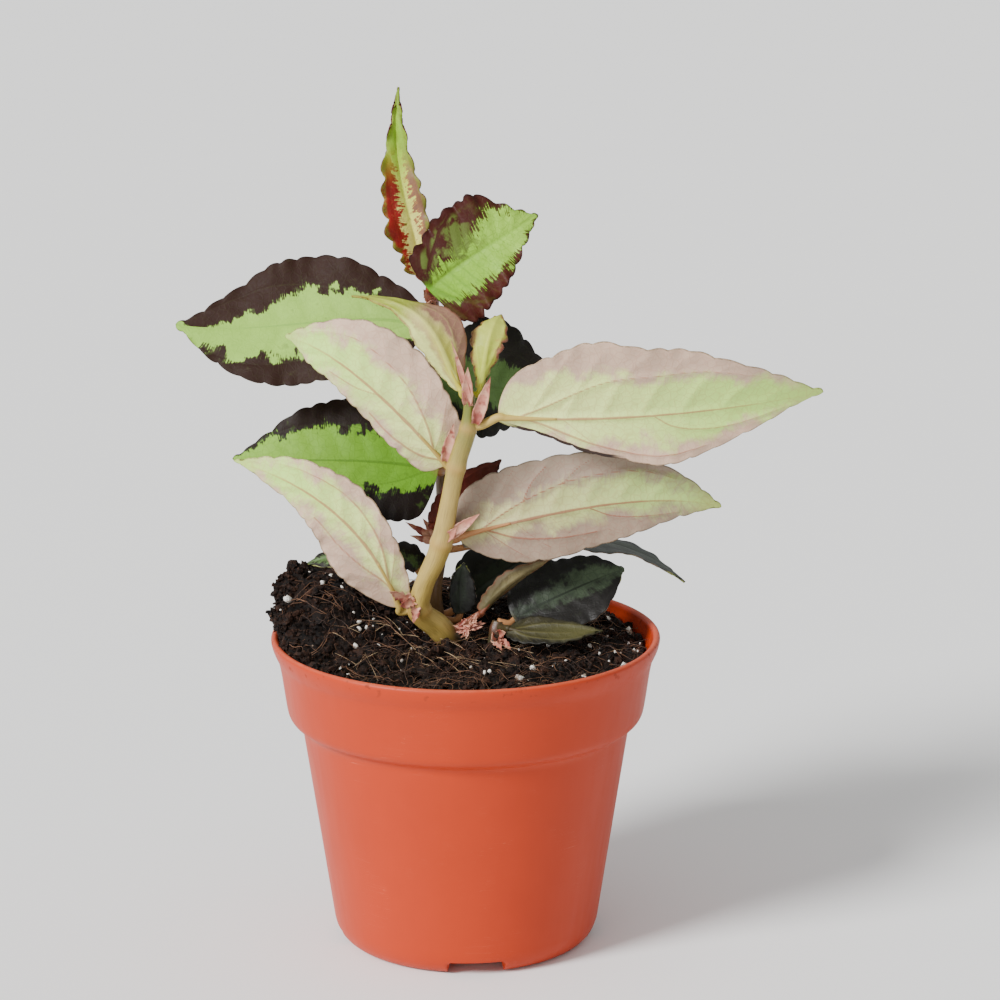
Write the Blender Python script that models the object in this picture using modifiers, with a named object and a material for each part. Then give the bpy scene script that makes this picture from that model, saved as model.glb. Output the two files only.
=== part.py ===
# Potted watermelon begonia: a small trailing plant in a thin plastic nursery pot.
# The origin is on the pot's axis at the surface it stands on, +Z is up and -Y is the front.
# Sizes in the tables are in millimetres and are turned into metres where the meshes are made.

import math

import bmesh
import bpy
import numpy as np

MM = 0.001
GAP = 0.3  # air between pieces that touch on the real plant

POT_SIDES = 56
POT_RIM_RADIUS = 30.0
POT_HEIGHT = 48.8
POT_FLOOR = 2.8
FOOT_RADIUS = 17.3
NOTCH_WIDTH = 8.6
NOTCH_HEIGHT = 1.8
NOTCH_COUNT = 4
NOTCH_TURN = 5.0  # degrees that the notches are turned away from the front
NOTCH_INNER = 6.0  # the notches run in to this radius and leave a round pad
DRAIN_RADIUS = 2.5
DRAIN_CENTRE = 12.5

SOIL_SIDES = 40
SOIL_TOP = 47.5
MOUNDS = (  # x, y, height, spread in x, spread in y
    (-22.0, 9.0, 7.7, 7.0, 10.0),
    (0.0, 19.0, 2.6, 13.0, 6.0),
)
SOIL_FALL = 1.0  # how far the soil drops towards the right wall
SOIL_LUMP = 0.4
SOIL_LEAN = 0.42  # how far the soil's edge leans out over the rim per height that it is heaped
SOIL_EDGE = 27.6  # radius of the soil's edge where it lies level
HOLE_FLOOR = 41.0
STEM_FOOT = HOLE_FLOOR + 0.4

BLADE = 0.35  # half the thickness of a leaf blade
RIB = 0.35  # how far the midrib stands out of the underside at the leaf's base
PETIOLE = 0.7  # radius of a leaf stalk
ROUND = 0.07  # share of the blade's length over which its base rounds off
COLUMNS = np.array([-1.0, -0.5, 0.0, 0.5, 1.0])
BRACT_FLAT = 0.45  # thickness of a bract as a share of its width

# Each leaf: where its stalk leaves the stem, four points along the midrib from base to tip, the
# way its upper side faces at base and tip, its half widths at six even steps on the side along
# midrib x face and on the other side, the fold (rise of the edges per width), the crenate teeth
# on each side with their depth, and the height and number of the edge's waves.
LEAVES = {
    "leaf_front_right_upper": dict(
        stalk=(2.4, -9.0, 83.4),
        rib=((5, -9.5, 85.5), (20, -10.5, 85.5), (36.5, -9.5, 86.5), (54, -4, 88)),
        face=((0, 0.97, 0.25), (0, 0.9, 0.35)),
        plus=(5.9, 10.8, 13.5, 12.3, 10.2, 5.8),
        minus=(1.2, 3.2, 6.3, 8.3, 7.2, 3.4),
        fold=-0.1,
        teeth=14,
        bite=0.3,
        wave=(0.5, 3.5),
        look="lilac",
    ),
    "leaf_front_right_lower": dict(
        stalk=(-1.4, -5.0, 65.2),
        rib=((-0.9, -4.6, 65.5), (12.5, -5, 69), (26.5, -4.5, 71), (39, -2, 69.5)),
        face=((0, 1, -0.15), (0, 1, 0)),
        plus=(5.6, 8.1, 8.6, 8.5, 7.1, 3.9),
        minus=(2, 6, 6.9, 6.3, 4.8, 2.7),
        fold=0.03,
        teeth=13,
        bite=0.3,
        wave=(0.5, 3),
        look="lilac",
    ),
    "leaf_front_left_upper": dict(
        stalk=(-2.3, -5.4, 76.4),
        rib=((-2.8, -5, 77), (-10, -7.5, 85.5), (-18.5, -7, 93), (-27, -2, 96)),
        face=((0, 1, 0.2), (0, 1, 0.2)),
        plus=(4, 4.4, 4.7, 4.1, 3.6, 3),
        minus=(5.6, 6.6, 8.6, 9.2, 8.1, 4),
        fold=0.03,
        teeth=12,
        bite=0.3,
        wave=(0.4, 3),
        look="lilac",
    ),
    "leaf_front_left_lower": dict(
        stalk=(-9.9, -3.5, 53.2),
        rib=((-10.1, -3.7, 54.2), (-16, -7, 66), (-24.5, -7, 73.5), (-35, -3, 77)),
        face=((0, 1, 0.2), (0, 1, 0.2)),
        plus=(2.3, 5.9, 6.4, 4.8, 3.5, 2),
        minus=(2.2, 3.7, 5.1, 5.6, 4.9, 2.8),
        fold=0.03,
        teeth=13,
        bite=0.25,
        wave=(0.4, 3),
        look="lilac",
    ),
    "leaf_back_left_upper": dict(
        stalk=(-5.5, 4.3, 96.6),
        rib=((-6.2, 3, 96.5), (-18.5, 5, 97), (-31, 7, 95.5), (-44.5, 9, 95.5)),
        face=((0, -0.85, 0.5), (0, -0.85, 0.5)),
        plus=(2.9, 6.7, 9.9, 10.5, 8.9, 4.9),
        minus=(5, 8.8, 9.7, 10, 9.5, 6),
        fold=0.1,
        teeth=13,
        bite=0.35,
        wave=(0.5, 3.5),
        look="variegated",
    ),
    "leaf_back_left_middle": dict(
        stalk=(-3.9, 5.6, 73),
        rib=((-4.2, 4, 73.5), (-14.5, 4, 75), (-25.5, 5, 75), (-36, 8, 74.5)),
        face=((0, -0.85, 0.5), (0, -0.85, 0.5)),
        plus=(5, 8.5, 9.8, 9.8, 8, 4.5),
        minus=(7.5, 9.4, 8.6, 6.6, 4.5, 2.4),
        fold=0.1,
        teeth=12,
        bite=0.35,
        wave=(0.5, 3),
        look="variegated",
    ),
    "leaf_top_right": dict(
        stalk=(-4.9, 3.6, 101.6),
        rib=((-5.5, 1.5, 102.5), (0, 1, 107), (5.5, 1.5, 110.5), (11, 4, 113.5)),
        face=((0, -0.95, 0.2), (0, -0.9, 0.4)),
        plus=(6.9, 8.7, 7.9, 7, 4.9, 2.4),
        minus=(5.7, 6.6, 8.1, 8.2, 7.8, 3.8),
        fold=0.1,
        teeth=10,
        bite=0.6,
        wave=(0.6, 4),
        look="red_edged",
    ),
    "leaf_top_upright": dict(
        stalk=(-5.6, 5.2, 103.2),
        rib=((-7, 5, 104), (-8, 5.5, 111.5), (-10, 6, 121), (-10, 7, 132.5)),
        face=((0, -1, 0.1), (0, -1, 0.1)),
        plus=(2.2, 2.2, 2.7, 3.1, 2.3, 1.5),
        minus=(2.3, 2.9, 4.2, 3.6, 2.7, 1),
        fold=0.6,
        teeth=9,
        bite=0.5,
        wave=(0.4, 4),
        look="red_edged",
    ),
    "leaf_young_left": dict(
        stalk=(-0.2, -9.7, 88.7),
        rib=((-0.5, -10, 89.7), (-3.2, -12, 96), (-7.2, -12, 101.5), (-16.8, -6, 103)),
        face=((0, 1, 0.1), (0, 0.3, -0.9)),
        plus=(1, 2, 2.8, 3, 2.2, 1.2),
        minus=(0.9, 2.4, 4.2, 4.8, 3.4, 1.8),
        fold=0.35,
        teeth=7,
        bite=0.2,
        wave=(0.2, 2),
        look="young",
    ),
    "leaf_young_right": dict(
        stalk=(1.8, -9.2, 88.7),
        rib=((2.3, -9, 89.6), (3, -9.8, 94), (3.9, -9, 98), (5.5, -4.5, 99.8)),
        face=((0, 1, 0), (0, 0.3, -0.9)),
        plus=(0.7, 1.3, 2.2, 2.8, 3, 2),
        minus=(0.7, 1, 1.8, 2.4, 2.6, 2),
        fold=0.3,
        teeth=5,
        bite=0.3,
        wave=(0.2, 2),
        look="young",
    ),
    "leaf_back_right": dict(
        stalk=(-4.2, 5.7, 85.7),
        rib=((-3.9, 3, 86.5), (3, 3, 87), (10, 4, 86), (18, 6, 83.5)),
        face=((0, -1, 0.1), (0, -1, 0.3)),
        plus=(4, 6.5, 7.8, 6.6, 5, 2.6),
        minus=(4, 8.5, 11, 9.5, 6, 3),
        fold=0.1,
        teeth=10,
        bite=0.5,
        wave=(0.5, 3),
        look="dark",
    ),
    "leaf_back_maroon": dict(
        stalk=(-4.5, 4.7, 65),
        rib=((-5.5, 3.5, 65), (-2, 4.5, 67.5), (1.5, 4.5, 71), (5.5, 5.5, 75)),
        face=((0, 1, 0.1), (0, 1, 0.1)),
        plus=(1.6, 2.8, 3.6, 3.8, 3.4, 2.2),
        minus=(1.4, 2.4, 2.8, 3, 2.6, 1.6),
        fold=-0.2,
        teeth=7,
        bite=0.3,
        wave=(0.3, 2),
        look="maroon",
    ),
    "leaf_low_strip": dict(
        stalk=(1.9, -1.0, 51.9),
        rib=((2.4, -1, 52.6), (5, -1.5, 55.5), (8.3, -1.5, 58.2), (13, -1, 61)),
        face=((-0.2, 0.8, 0.4), (-0.2, 0.8, 0.4)),
        plus=(0.8, 1.3, 1.6, 1.7, 1.5, 1),
        minus=(0.8, 1.3, 1.6, 1.7, 1.5, 1),
        fold=0.6,
        teeth=7,
        bite=0.15,
        wave=(0.15, 2),
        look="olive",
    ),
    "leaf_low_dark": dict(
        stalk=(6.7, -2.0, 50.8),
        rib=((7.4, -1.2, 51.4), (12, 0, 53.5), (18.5, 2, 56), (24.5, 4, 58)),
        face=((0, -0.7, 0.7), (0, -0.7, 0.7)),
        plus=(2, 3.8, 5.4, 6.3, 6.2, 3.5),
        minus=(2.4, 5.2, 6.8, 6.1, 5.2, 3.6),
        fold=0.1,
        teeth=10,
        bite=0.3,
        wave=(0.3, 3),
        look="dark",
    ),
    "leaf_low_olive": dict(
        stalk=(5.9, -4.2, 50.7),
        rib=((6.6, -5.2, 50.7), (10.5, -7, 50.8), (15.5, -8, 51), (21, -8, 51.5)),
        face=((0, 0.6, -0.8), (0, 0.6, -0.8)),
        plus=(1.4, 2.4, 2.8, 2.8, 2.2, 1.4),
        minus=(0.9, 1.3, 1.6, 1.6, 1.3, 0.8),
        fold=-0.15,
        teeth=8,
        bite=0.2,
        wave=(0.2, 2),
        look="olive",
    ),
    "leaf_low_trailing": dict(
        stalk=(-2.4, 6.2, 60.5),
        rib=((-0.5, 6.8, 61), (13, 11, 61), (24.5, 15, 58.5), (34.5, 15.5, 52.5)),
        face=((0, -0.3, 0.95), (0.3, -0.2, 0.95)),
        plus=(1.5, 3, 4.2, 4.2, 3.2, 1.8),
        minus=(1.5, 3, 3.5, 3, 2.2, 1.2),
        fold=0.1,
        teeth=10,
        bite=0.3,
        wave=(0.3, 3),
        look="grey",
    ),
    "leaf_low_small": dict(
        stalk=(-1.6, 3.4, 49.8),
        rib=((-0.8, 3, 51), (-0.9, 3.5, 53.6), (-0.7, 4, 56.2), (-0.3, 4.5, 58.8)),
        face=((0, -0.9, 0.4), (0, -0.9, 0.4)),
        plus=(1.5, 2.4, 2.6, 2.4, 2, 1.2),
        minus=(1, 1.5, 1.7, 1.7, 1.5, 1),
        fold=0.2,
        teeth=6,
        bite=0.2,
        wave=(0.1, 2),
        look="dark",
    ),
    "leaf_low_back": dict(
        stalk=(-2.6, 6.2, 50.2),
        rib=((-1.2, 7.5, 51), (3.5, 11, 54), (9, 14.5, 56.5), (15, 17.5, 58)),
        face=((0.1, -0.8, 0.6), (0.1, -0.8, 0.6)),
        plus=(1.8, 3.2, 3.8, 3.8, 3.2, 1.8),
        minus=(2.2, 4.6, 5.8, 5.6, 4.4, 2.4),
        fold=0.1,
        teeth=9,
        bite=0.3,
        wave=(0.3, 2.5),
        look="dark",
    ),
    "leaf_low_left": dict(
        stalk=(-7.0, 5.2, 57),
        rib=((-7.4, 5, 57.8), (-11, 4, 60), (-18, 4, 60), (-24.5, 5, 58.5)),
        face=((0, -0.6, 0.8), (0, -0.6, 0.8)),
        plus=(2, 3, 3, 2.8, 2.4, 1.8),
        minus=(1.4, 2.4, 2.8, 2.8, 2.6, 1.8),
        fold=0.1,
        teeth=8,
        bite=0.3,
        wave=(0.3, 2),
        look="dark",
    ),
}

# Each stem: points from its foot in the soil to its tip, each with the radius there.
STEMS = {
    "stem_front": (
        (-2.5, -0.5, STEM_FOOT, 1.7),
        (-2.5, -0.5, 47.4, 1.9),
        (-4.2, -1.4, 50.2, 2.0),
        (-7, -3.2, 53.4, 1.75),
        (-6.2, -4.6, 58, 1.5),
        (-3.8, -6, 64, 1.6),
        (-2.3, -7, 71.8, 1.4),
        (-1.1, -7.9, 78, 1.5),
        (0.5, -9, 83.2, 1.5),
        (0.8, -9.5, 87.6, 1.0),
    ),
    "stem_back": (
        (-4.5, 5.5, STEM_FOOT, 1.4),
        (-4.5, 5.5, 48, 1.4),
        (-5, 5.2, 54, 1.3),
        (-4, 6.2, 61, 1.3),
        (-3.4, 7.2, 67, 1.2),
        (-3.6, 8, 74, 1.2),
        (-4.3, 8, 86, 1.2),
        (-5, 6.5, 97, 1.1),
        (-4.9, 5.4, 102.6, 0.9),
    ),
    "stem_low": (
        (4.4, -3.2, STEM_FOOT, 1.0),
        (4.4, -3.2, 47, 1.0),
        (4.7, -2.8, 49, 1.0),
        (4.9, -2.4, 51, 0.8),
    ),
}

# Bracts and torn stubs at the nodes: stem, foot, tip, half the width.
BRACTS = (
    ("stem_front", (-3.2, -6.9, 64.6), (1.4, -8.4, 68.6), 1.1),
    ("stem_front", (-1.9, -8.2, 78.6), (-2.0, -9.6, 83.2), 1.1),
    ("stem_front", (1.2, -9.8, 84.4), (3.1, -11.6, 89.0), 1.0),
    ("stem_front", (0.9, -10.0, 86.4), (1.0, -12.4, 90.6), 0.9),
    ("stem_front", (-7.4, -4.4, 54.4), (-11.0, -7.6, 57.2), 1.1),
    ("stem_front", (-7.2, -4.6, 53.4), (-10.2, -8.0, 54.2), 0.9),
    ("stem_front", (-3.6, -1.4, 49.4), (0.6, -2.4, 50.8), 1.5),
    ("stem_front", (-1.2, -2.0, 50.2), (0.4, -4.2, 53.2), 0.9),
    ("stem_front", (-1.6, -2.2, 49.8), (1.2, -4.8, 50.4), 0.8),
    ("stem_back", (-5.0, 5.4, 100.4), (-6.6, 3.4, 101.6), 0.8),
    ("stem_back", (-4.4, 5.6, 61.6), (-8.6, 3.0, 64.0), 0.9),
    ("stem_back", (-4.2, 5.6, 61.0), (-8.4, 2.8, 60.4), 0.8),
    ("stem_low", (4.5, -3.4, 48.9), (5.2, -7.2, 48.8), 0.8),
    ("stem_low", (4.6, -3.2, 49.4), (3.0, -6.4, 50.6), 0.8),
)

LOOKS = {
    "lilac": (0.58, 0.50, 0.42),
    "variegated": (0.24, 0.30, 0.13),
    "red_edged": (0.33, 0.26, 0.12),
    "young": (0.50, 0.48, 0.22),
    "dark": (0.03, 0.04, 0.03),
    "maroon": (0.20, 0.05, 0.04),
    "olive": (0.22, 0.19, 0.09),
    "grey": (0.16, 0.20, 0.17),
}
STEM_COLOUR = (0.45, 0.38, 0.14)
POT_COLOUR = (0.62, 0.14, 0.07)
SOIL_COLOUR = (0.02, 0.012, 0.008)


def clear_scene():
    for obj in list(bpy.data.objects):
        bpy.data.objects.remove(obj, do_unlink=True)


def new_collection(name):
    collection = bpy.data.collections.new(name)
    bpy.context.scene.collection.children.link(collection)
    return collection


def material(name, colour, roughness):
    made = bpy.data.materials.new(name)
    made.use_nodes = True
    shader = made.node_tree.nodes["Principled BSDF"]
    shader.inputs["Base Color"].default_value = (*colour, 1)
    shader.inputs["Roughness"].default_value = roughness
    shader.inputs["Metallic"].default_value = 0
    return made


def add_object(name, mesh, collection, finish):
    obj = bpy.data.objects.new(name, mesh)
    collection.objects.link(obj)
    mesh.materials.clear()
    mesh.materials.append(finish)
    return obj


def evaluated_mesh(obj):
    graph = bpy.context.evaluated_depsgraph_get()
    return bpy.data.meshes.new_from_object(obj.evaluated_get(graph))


def add_cutter(name, bm, cutters):
    """Turns a bmesh into an object that only cuts."""
    mesh = bpy.data.meshes.new(name)
    bm.to_mesh(mesh)
    bm.free()
    obj = bpy.data.objects.new(name, mesh)
    cutters.objects.link(obj)
    obj.hide_render = True
    obj.display_type = "WIRE"
    return obj


def cut(obj, cutter):
    modifier = obj.modifiers.new(cutter.name, "BOOLEAN")
    modifier.operation = "DIFFERENCE"
    modifier.object = cutter


def turned_mesh(name, profile, sides):
    """A profile of (radius, height) points turned about Z, as a closed mesh."""
    mesh = bpy.data.meshes.new(name)
    points = [(r * MM, 0, z * MM) for r, z in profile]
    edges = [(i, i + 1) for i in range(len(points) - 1)]
    mesh.from_pydata(points, edges, [])
    obj = bpy.data.objects.new(name, mesh)
    bpy.context.scene.collection.objects.link(obj)
    screw = obj.modifiers.new("turn", "SCREW")
    screw.steps = sides
    screw.render_steps = sides
    screw.use_merge_vertices = True
    screw.merge_threshold = 0.00001
    result = evaluated_mesh(obj)
    bpy.data.objects.remove(obj, do_unlink=True)
    return result


def pot_outer_profile():
    """From the lip down the flared rim, the band and the tapered body to the foot."""
    return [
        (POT_RIM_RADIUS - 0.5, POT_HEIGHT),
        (POT_RIM_RADIUS, POT_HEIGHT - 0.5),
        (29.7, 47.0),
        (28.9, 45.3),
        (28.4, 42.8),
        (27.7, 37.6),
        (27.1, 36.1),
        (25.8, 35.2),
        (25.3, 34.2),
        (20.6, 3.2),
        (20.0, 1.6),
        (18.9, 0.5),
        (FOOT_RADIUS, 0),
        (0, 0),
    ]


def pot_inner_profile(clear=0.0):
    """From the centre of the floor up the inside of the wall, moved inwards by clear."""
    inside = [
        (0, POT_FLOOR),
        (18.4, POT_FLOOR),
        (19.6, 4.0),
        (24.2, 35.0),
        (24.9, 36.2),
        (26.2, 37.2),
        (26.7, 38.6),
        (27.4, 43.0),
        (28.0, 45.6),
        (28.7, 47.2),
        (28.9, 48.4),
    ]
    return [(max(r - clear, 0), z + (clear if z == POT_FLOOR else 0)) for r, z in inside]


def make_pot(collection, cutters):
    profile = pot_inner_profile() + pot_outer_profile()
    mesh = turned_mesh("pot", profile, POT_SIDES)
    pot = add_object("pot", mesh, collection, material("pot plastic", POT_COLOUR, 0.42))
    for number in range(NOTCH_COUNT):
        angle = math.radians(NOTCH_TURN - 90 + 360 * number / NOTCH_COUNT)
        cut(pot, notch_cutter(f"notch_{number}", angle, cutters))
        cut(pot, drain_cutter(f"drain_{number}", angle, cutters))
    mesh.shade_smooth()
    mesh.set_sharp_from_angle(angle=math.radians(35))
    return pot


def notch_cutter(name, angle, cutters):
    """A bar below the floor that runs out through the foot."""
    bm = bmesh.new()
    bmesh.ops.create_cube(bm, size=1)
    reach = POT_RIM_RADIUS - NOTCH_INNER
    bmesh.ops.scale(bm, vec=(reach * MM, NOTCH_WIDTH * MM, 2 * NOTCH_HEIGHT * MM), verts=bm.verts)
    bmesh.ops.translate(bm, vec=((NOTCH_INNER + reach / 2) * MM, 0, 0), verts=bm.verts)
    obj = add_cutter(name, bm, cutters)
    obj.rotation_euler.z = angle
    return obj


def drain_cutter(name, angle, cutters):
    bm = bmesh.new()
    bmesh.ops.create_cone(
        bm,
        cap_ends=True,
        segments=12,
        radius1=DRAIN_RADIUS * MM,
        radius2=DRAIN_RADIUS * MM,
        depth=2 * POT_FLOOR * MM,
    )
    obj = add_cutter(name, bm, cutters)
    obj.location = (
        math.cos(angle) * DRAIN_CENTRE * MM,
        math.sin(angle) * DRAIN_CENTRE * MM,
        POT_FLOOR * MM,
    )
    return obj


def ground(x, y):
    """Height of the soil: a flat bed with mounds at the back, a fall to the right and lumps."""
    height = SOIL_TOP - SOIL_FALL * np.clip((x - 8) / 18, 0, 1)
    for cx, cy, high, wide_x, wide_y in MOUNDS:
        height += high * np.exp(-0.5 * (((x - cx) / wide_x) ** 2 + ((y - cy) / wide_y) ** 2))
    lumps = np.sin(x * 0.9 + 1) * np.sin(y * 0.8 + 2) + np.sin(x * 0.43 - y * 0.6)
    return height + SOIL_LUMP * lumps


def make_soil(collection, cutters):
    wall = [point for point in pot_inner_profile(GAP + 0.2) if point[1] < SOIL_TOP - 0.5]
    rings = [0, 3, 6.5, 10, 13.5, 17, 20.5, 23.5, 26, SOIL_EDGE]
    profile = [(r, SOIL_TOP) for r in rings] + wall[::-1]
    mesh = turned_mesh("soil", profile, SOIL_SIDES)
    points = np.empty(len(mesh.vertices) * 3)
    mesh.vertices.foreach_get("co", points)
    points = points.reshape(-1, 3)
    top = points[:, 2] > (SOIL_TOP - 0.1) * MM
    x, y = points[top, 0] / MM, points[top, 1] / MM
    height = ground(x, y)
    heaped = np.clip(height - SOIL_TOP, 0, None) * (np.hypot(x, y) > SOIL_EDGE - 0.1)
    lean = 1 + SOIL_LEAN * heaped / SOIL_EDGE
    points[top] = np.stack([x * lean, y * lean, height], axis=1) * MM
    mesh.vertices.foreach_set("co", points.ravel())
    soil = add_object("soil", mesh, collection, material("peat", SOIL_COLOUR, 0.95))
    for name, points in STEMS.items():
        cut(soil, hole_cutter(f"hole_{name}", points, cutters))
    return soil


def hole_cutter(name, points, cutters):
    """A round hole a little wider than the stem that stands in it."""
    x, y = points[0][:2]
    radius = max(point[3] for point in points[:2]) + GAP + 0.15
    bm = bmesh.new()
    bmesh.ops.create_cone(
        bm,
        cap_ends=True,
        segments=12,
        radius1=radius * MM,
        radius2=(radius + 0.5) * MM,
        depth=(SOIL_TOP + 3 - HOLE_FLOOR) * MM,
    )
    obj = add_cutter(name, bm, cutters)
    obj.location = (x * MM, y * MM, (SOIL_TOP + 3 + HOLE_FLOOR) / 2 * MM)
    return obj


def smooth_path(points, steps):
    """A Catmull-Rom curve through the points, with a number of steps between each pair."""
    points = np.array(points, float)
    ends = np.vstack([2 * points[0] - points[1], points, 2 * points[-1] - points[-2]])
    path = []
    for i in range(1, len(ends) - 2):
        a, b, c, d = ends[i - 1 : i + 3]
        for t in np.arange(steps) / steps:
            path.append(
                0.5 * (2 * b + (c - a) * t + (2 * a - 5 * b + 4 * c - d) * t**2)
                + 0.5 * (3 * b - a - 3 * c + d) * t**3
            )
    path.append(points[-1])
    return np.array(path)


def tube_mesh(name, path):
    """A round tube along (x, y, z, radius) points, welded into one closed mesh."""
    curve = bpy.data.curves.new(name, "CURVE")
    curve.dimensions = "3D"
    curve.bevel_depth = MM
    curve.bevel_resolution = 2
    curve.use_fill_caps = True
    spline = curve.splines.new("POLY")
    spline.points.add(len(path) - 1)
    for point, (x, y, z, radius) in zip(spline.points, path):
        point.co = (x * MM, y * MM, z * MM, 1)
        point.radius = radius
    obj = bpy.data.objects.new(name, curve)
    bpy.context.scene.collection.objects.link(obj)
    mesh = evaluated_mesh(obj)
    bpy.data.objects.remove(obj, do_unlink=True)
    bm = bmesh.new()
    bm.from_mesh(mesh)
    bmesh.ops.remove_doubles(bm, verts=bm.verts, dist=0.00001)
    bmesh.ops.recalc_face_normals(bm, faces=bm.faces)
    bm.to_mesh(mesh)
    bm.free()
    return mesh


def bract_mesh(name, foot, tip, radius):
    """A pointed oval bract from foot to tip, flattened so that it faces the front."""
    foot, tip = np.array(foot), np.array(tip)
    shares = ((0, 0.55), (0.4, 1.0), (0.75, 0.65), (1, 0.25))
    mesh = tube_mesh(name, [(*(foot + (tip - foot) * s), radius * wide) for s, wide in shares])
    along = unit(tip - foot)
    thin = np.array((0.0, 1.0, 0.0))
    thin = unit(thin - along * (thin @ along))
    points = np.empty(len(mesh.vertices) * 3)
    mesh.vertices.foreach_get("co", points)
    points = points.reshape(-1, 3)
    points -= np.outer((points - foot * MM) @ thin * (1 - BRACT_FLAT), thin)
    mesh.vertices.foreach_set("co", points.ravel())
    return mesh


def make_stem(name, points, collection, finish):
    stem = add_object(name, tube_mesh(name, smooth_path(points, 3)), collection, finish)
    bracts = new_collection(f"{name} bracts")
    for number, (owner, foot, tip, radius) in enumerate(BRACTS):
        if owner == name:
            mesh = bract_mesh(f"bract_{number}", foot, tip, radius)
            add_object(mesh.name, mesh, bracts, finish)
    join = stem.modifiers.new("bracts", "BOOLEAN")
    join.operation = "UNION"
    join.operand_type = "COLLECTION"
    join.collection = bracts
    joined = evaluated_mesh(stem)
    stem.modifiers.clear()
    stem.data = joined
    for bract in list(bracts.objects):
        bpy.data.objects.remove(bract, do_unlink=True)
    bpy.data.collections.remove(bracts)
    joined.shade_smooth()
    return stem


def unit(vectors):
    return vectors / np.linalg.norm(vectors, axis=-1, keepdims=True)


def midrib(points, u):
    """The cubic through four points at u = 0, 1/3, 2/3 and 1, and its slope."""
    powers = np.vander(np.linspace(0, 1, 4), 4)
    cubic = np.linalg.solve(powers, np.array(points, float))
    slope = np.array([[3, 2, 1]]).T * cubic[:3]
    return np.vander(u, 4) @ cubic, np.vander(u, 3) @ slope


def half_width(widths, u):
    """A smooth outline through six widths and a pointed tip, rounded off at the base."""
    marks = np.append(np.array(widths, float), 0.0)
    steps = len(marks) - 1
    slopes = np.gradient(marks)
    left = np.minimum((u * steps).astype(int), steps - 1)
    t = u * steps - left
    a, b = marks[left], marks[left + 1]
    body = (
        (1 + 2 * t) * (1 - t) ** 2 * a
        + t * (1 - t) ** 2 * slopes[left]
        + t**2 * (3 - 2 * t) * b
        + t**2 * (t - 1) * slopes[left + 1]
    )
    corner = np.sqrt(1 - (1 - np.minimum(u / ROUND, 1)) ** 2)
    return np.maximum(PETIOLE + (body - PETIOLE) * corner, 0.4)


def leaf_frame(leaf, u):
    """Midrib points, side directions and upper-side directions along the leaf."""
    points, slope = midrib(leaf["rib"], u)
    along = unit(slope)
    base, tip = np.array(leaf["face"], float)
    face = np.outer(1 - u, base) + np.outer(u, tip)
    up = unit(face - (face * along).sum(1, keepdims=True) * along)
    return points, np.cross(along, up), up


def blade_sheet(leaf, u):
    """Points of the blade's middle surface: a folded, waved sheet with crenate edges."""
    points, side, up = leaf_frame(leaf, u)
    notch = leaf["bite"] * (np.arange(len(u)) % 2)
    wide = half_width(leaf["plus"], u)
    slim = half_width(leaf["minus"], u)
    height, count = leaf["wave"]
    sheet = []
    for v in COLUMNS:
        reach = (wide if v > 0 else slim) * abs(v)
        if abs(v) == 1:
            reach = np.maximum(reach - notch, 0.4)
        ripple = height * v**2 * np.sin(2 * math.pi * count * u + v) * np.sin(math.pi * u)
        rise = leaf["fold"] * reach + ripple
        sheet.append(points + side * (np.sign(v) * reach)[:, None] + up * rise[:, None])
    return np.stack(sheet, axis=1)


def leaf_sections(leaf):
    """Upper and lower points of the stalk and the blade, row by row."""
    u = np.linspace(0, 1, 2 * leaf["teeth"] + 1)
    sheet = blade_sheet(leaf, u)
    up = unit(np.cross(np.gradient(sheet, axis=0), np.gradient(sheet, axis=1)))
    face = leaf_frame(leaf, u)[2][:, None]
    up *= np.sign((up * face).sum(-1, keepdims=True))
    keel = RIB * (1 - u[:, None]) * (COLUMNS == 0)
    upper = sheet + up * BLADE
    lower = sheet - up * (BLADE + keel)[..., None]
    _, side, face = leaf_frame(leaf, u[:1])
    start = np.array(leaf["stalk"], float)
    swell = PETIOLE * np.sqrt(1 - 0.75 * COLUMNS**2)[:, None]
    rows_up, rows_low = [], []
    for share in (0.0, 0.5):
        centre = start + (sheet[0, 2] - start) * share
        line = centre + side * (COLUMNS * PETIOLE)[:, None]
        rows_up.append(line + face * swell)
        rows_low.append(line - face * swell)
    return np.array(rows_up + list(upper)), np.array(rows_low + list(lower))


def leaf_faces(rows, columns):
    """Triangles of a closed leaf: both faces split the same way, then the rim and the ends."""
    low = rows * columns
    faces = []
    for r in range(rows - 1):
        for c in range(columns - 1):
            a = r * columns + c
            b, d = a + 1, a + columns
            e = d + 1
            faces += [(a, b, e), (a, e, d), (low + a, low + e, low + b), (low + a, low + d, low + e)]
    for c in (0, columns - 1):
        for r in range(rows - 1):
            a = r * columns + c
            faces.append((a, a + columns, low + a + columns, low + a))
    for r in (0, rows - 1):
        for c in range(columns - 1):
            a = r * columns + c
            faces.append((a, a + 1, low + a + 1, low + a))
    return faces


def make_leaf(name, leaf, collection, finish):
    upper, lower = leaf_sections(leaf)
    rows, columns = upper.shape[:2]
    points = np.concatenate([upper.reshape(-1, 3), lower.reshape(-1, 3)]) * MM
    mesh = bpy.data.meshes.new(name)
    mesh.from_pydata(points.tolist(), [], leaf_faces(rows, columns))
    bm = bmesh.new()
    bm.from_mesh(mesh)
    bmesh.ops.recalc_face_normals(bm, faces=bm.faces)
    bm.to_mesh(mesh)
    bm.free()
    mesh.shade_smooth()
    mesh.set_sharp_from_angle(angle=math.radians(40))
    return add_object(name, mesh, collection, finish)


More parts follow.
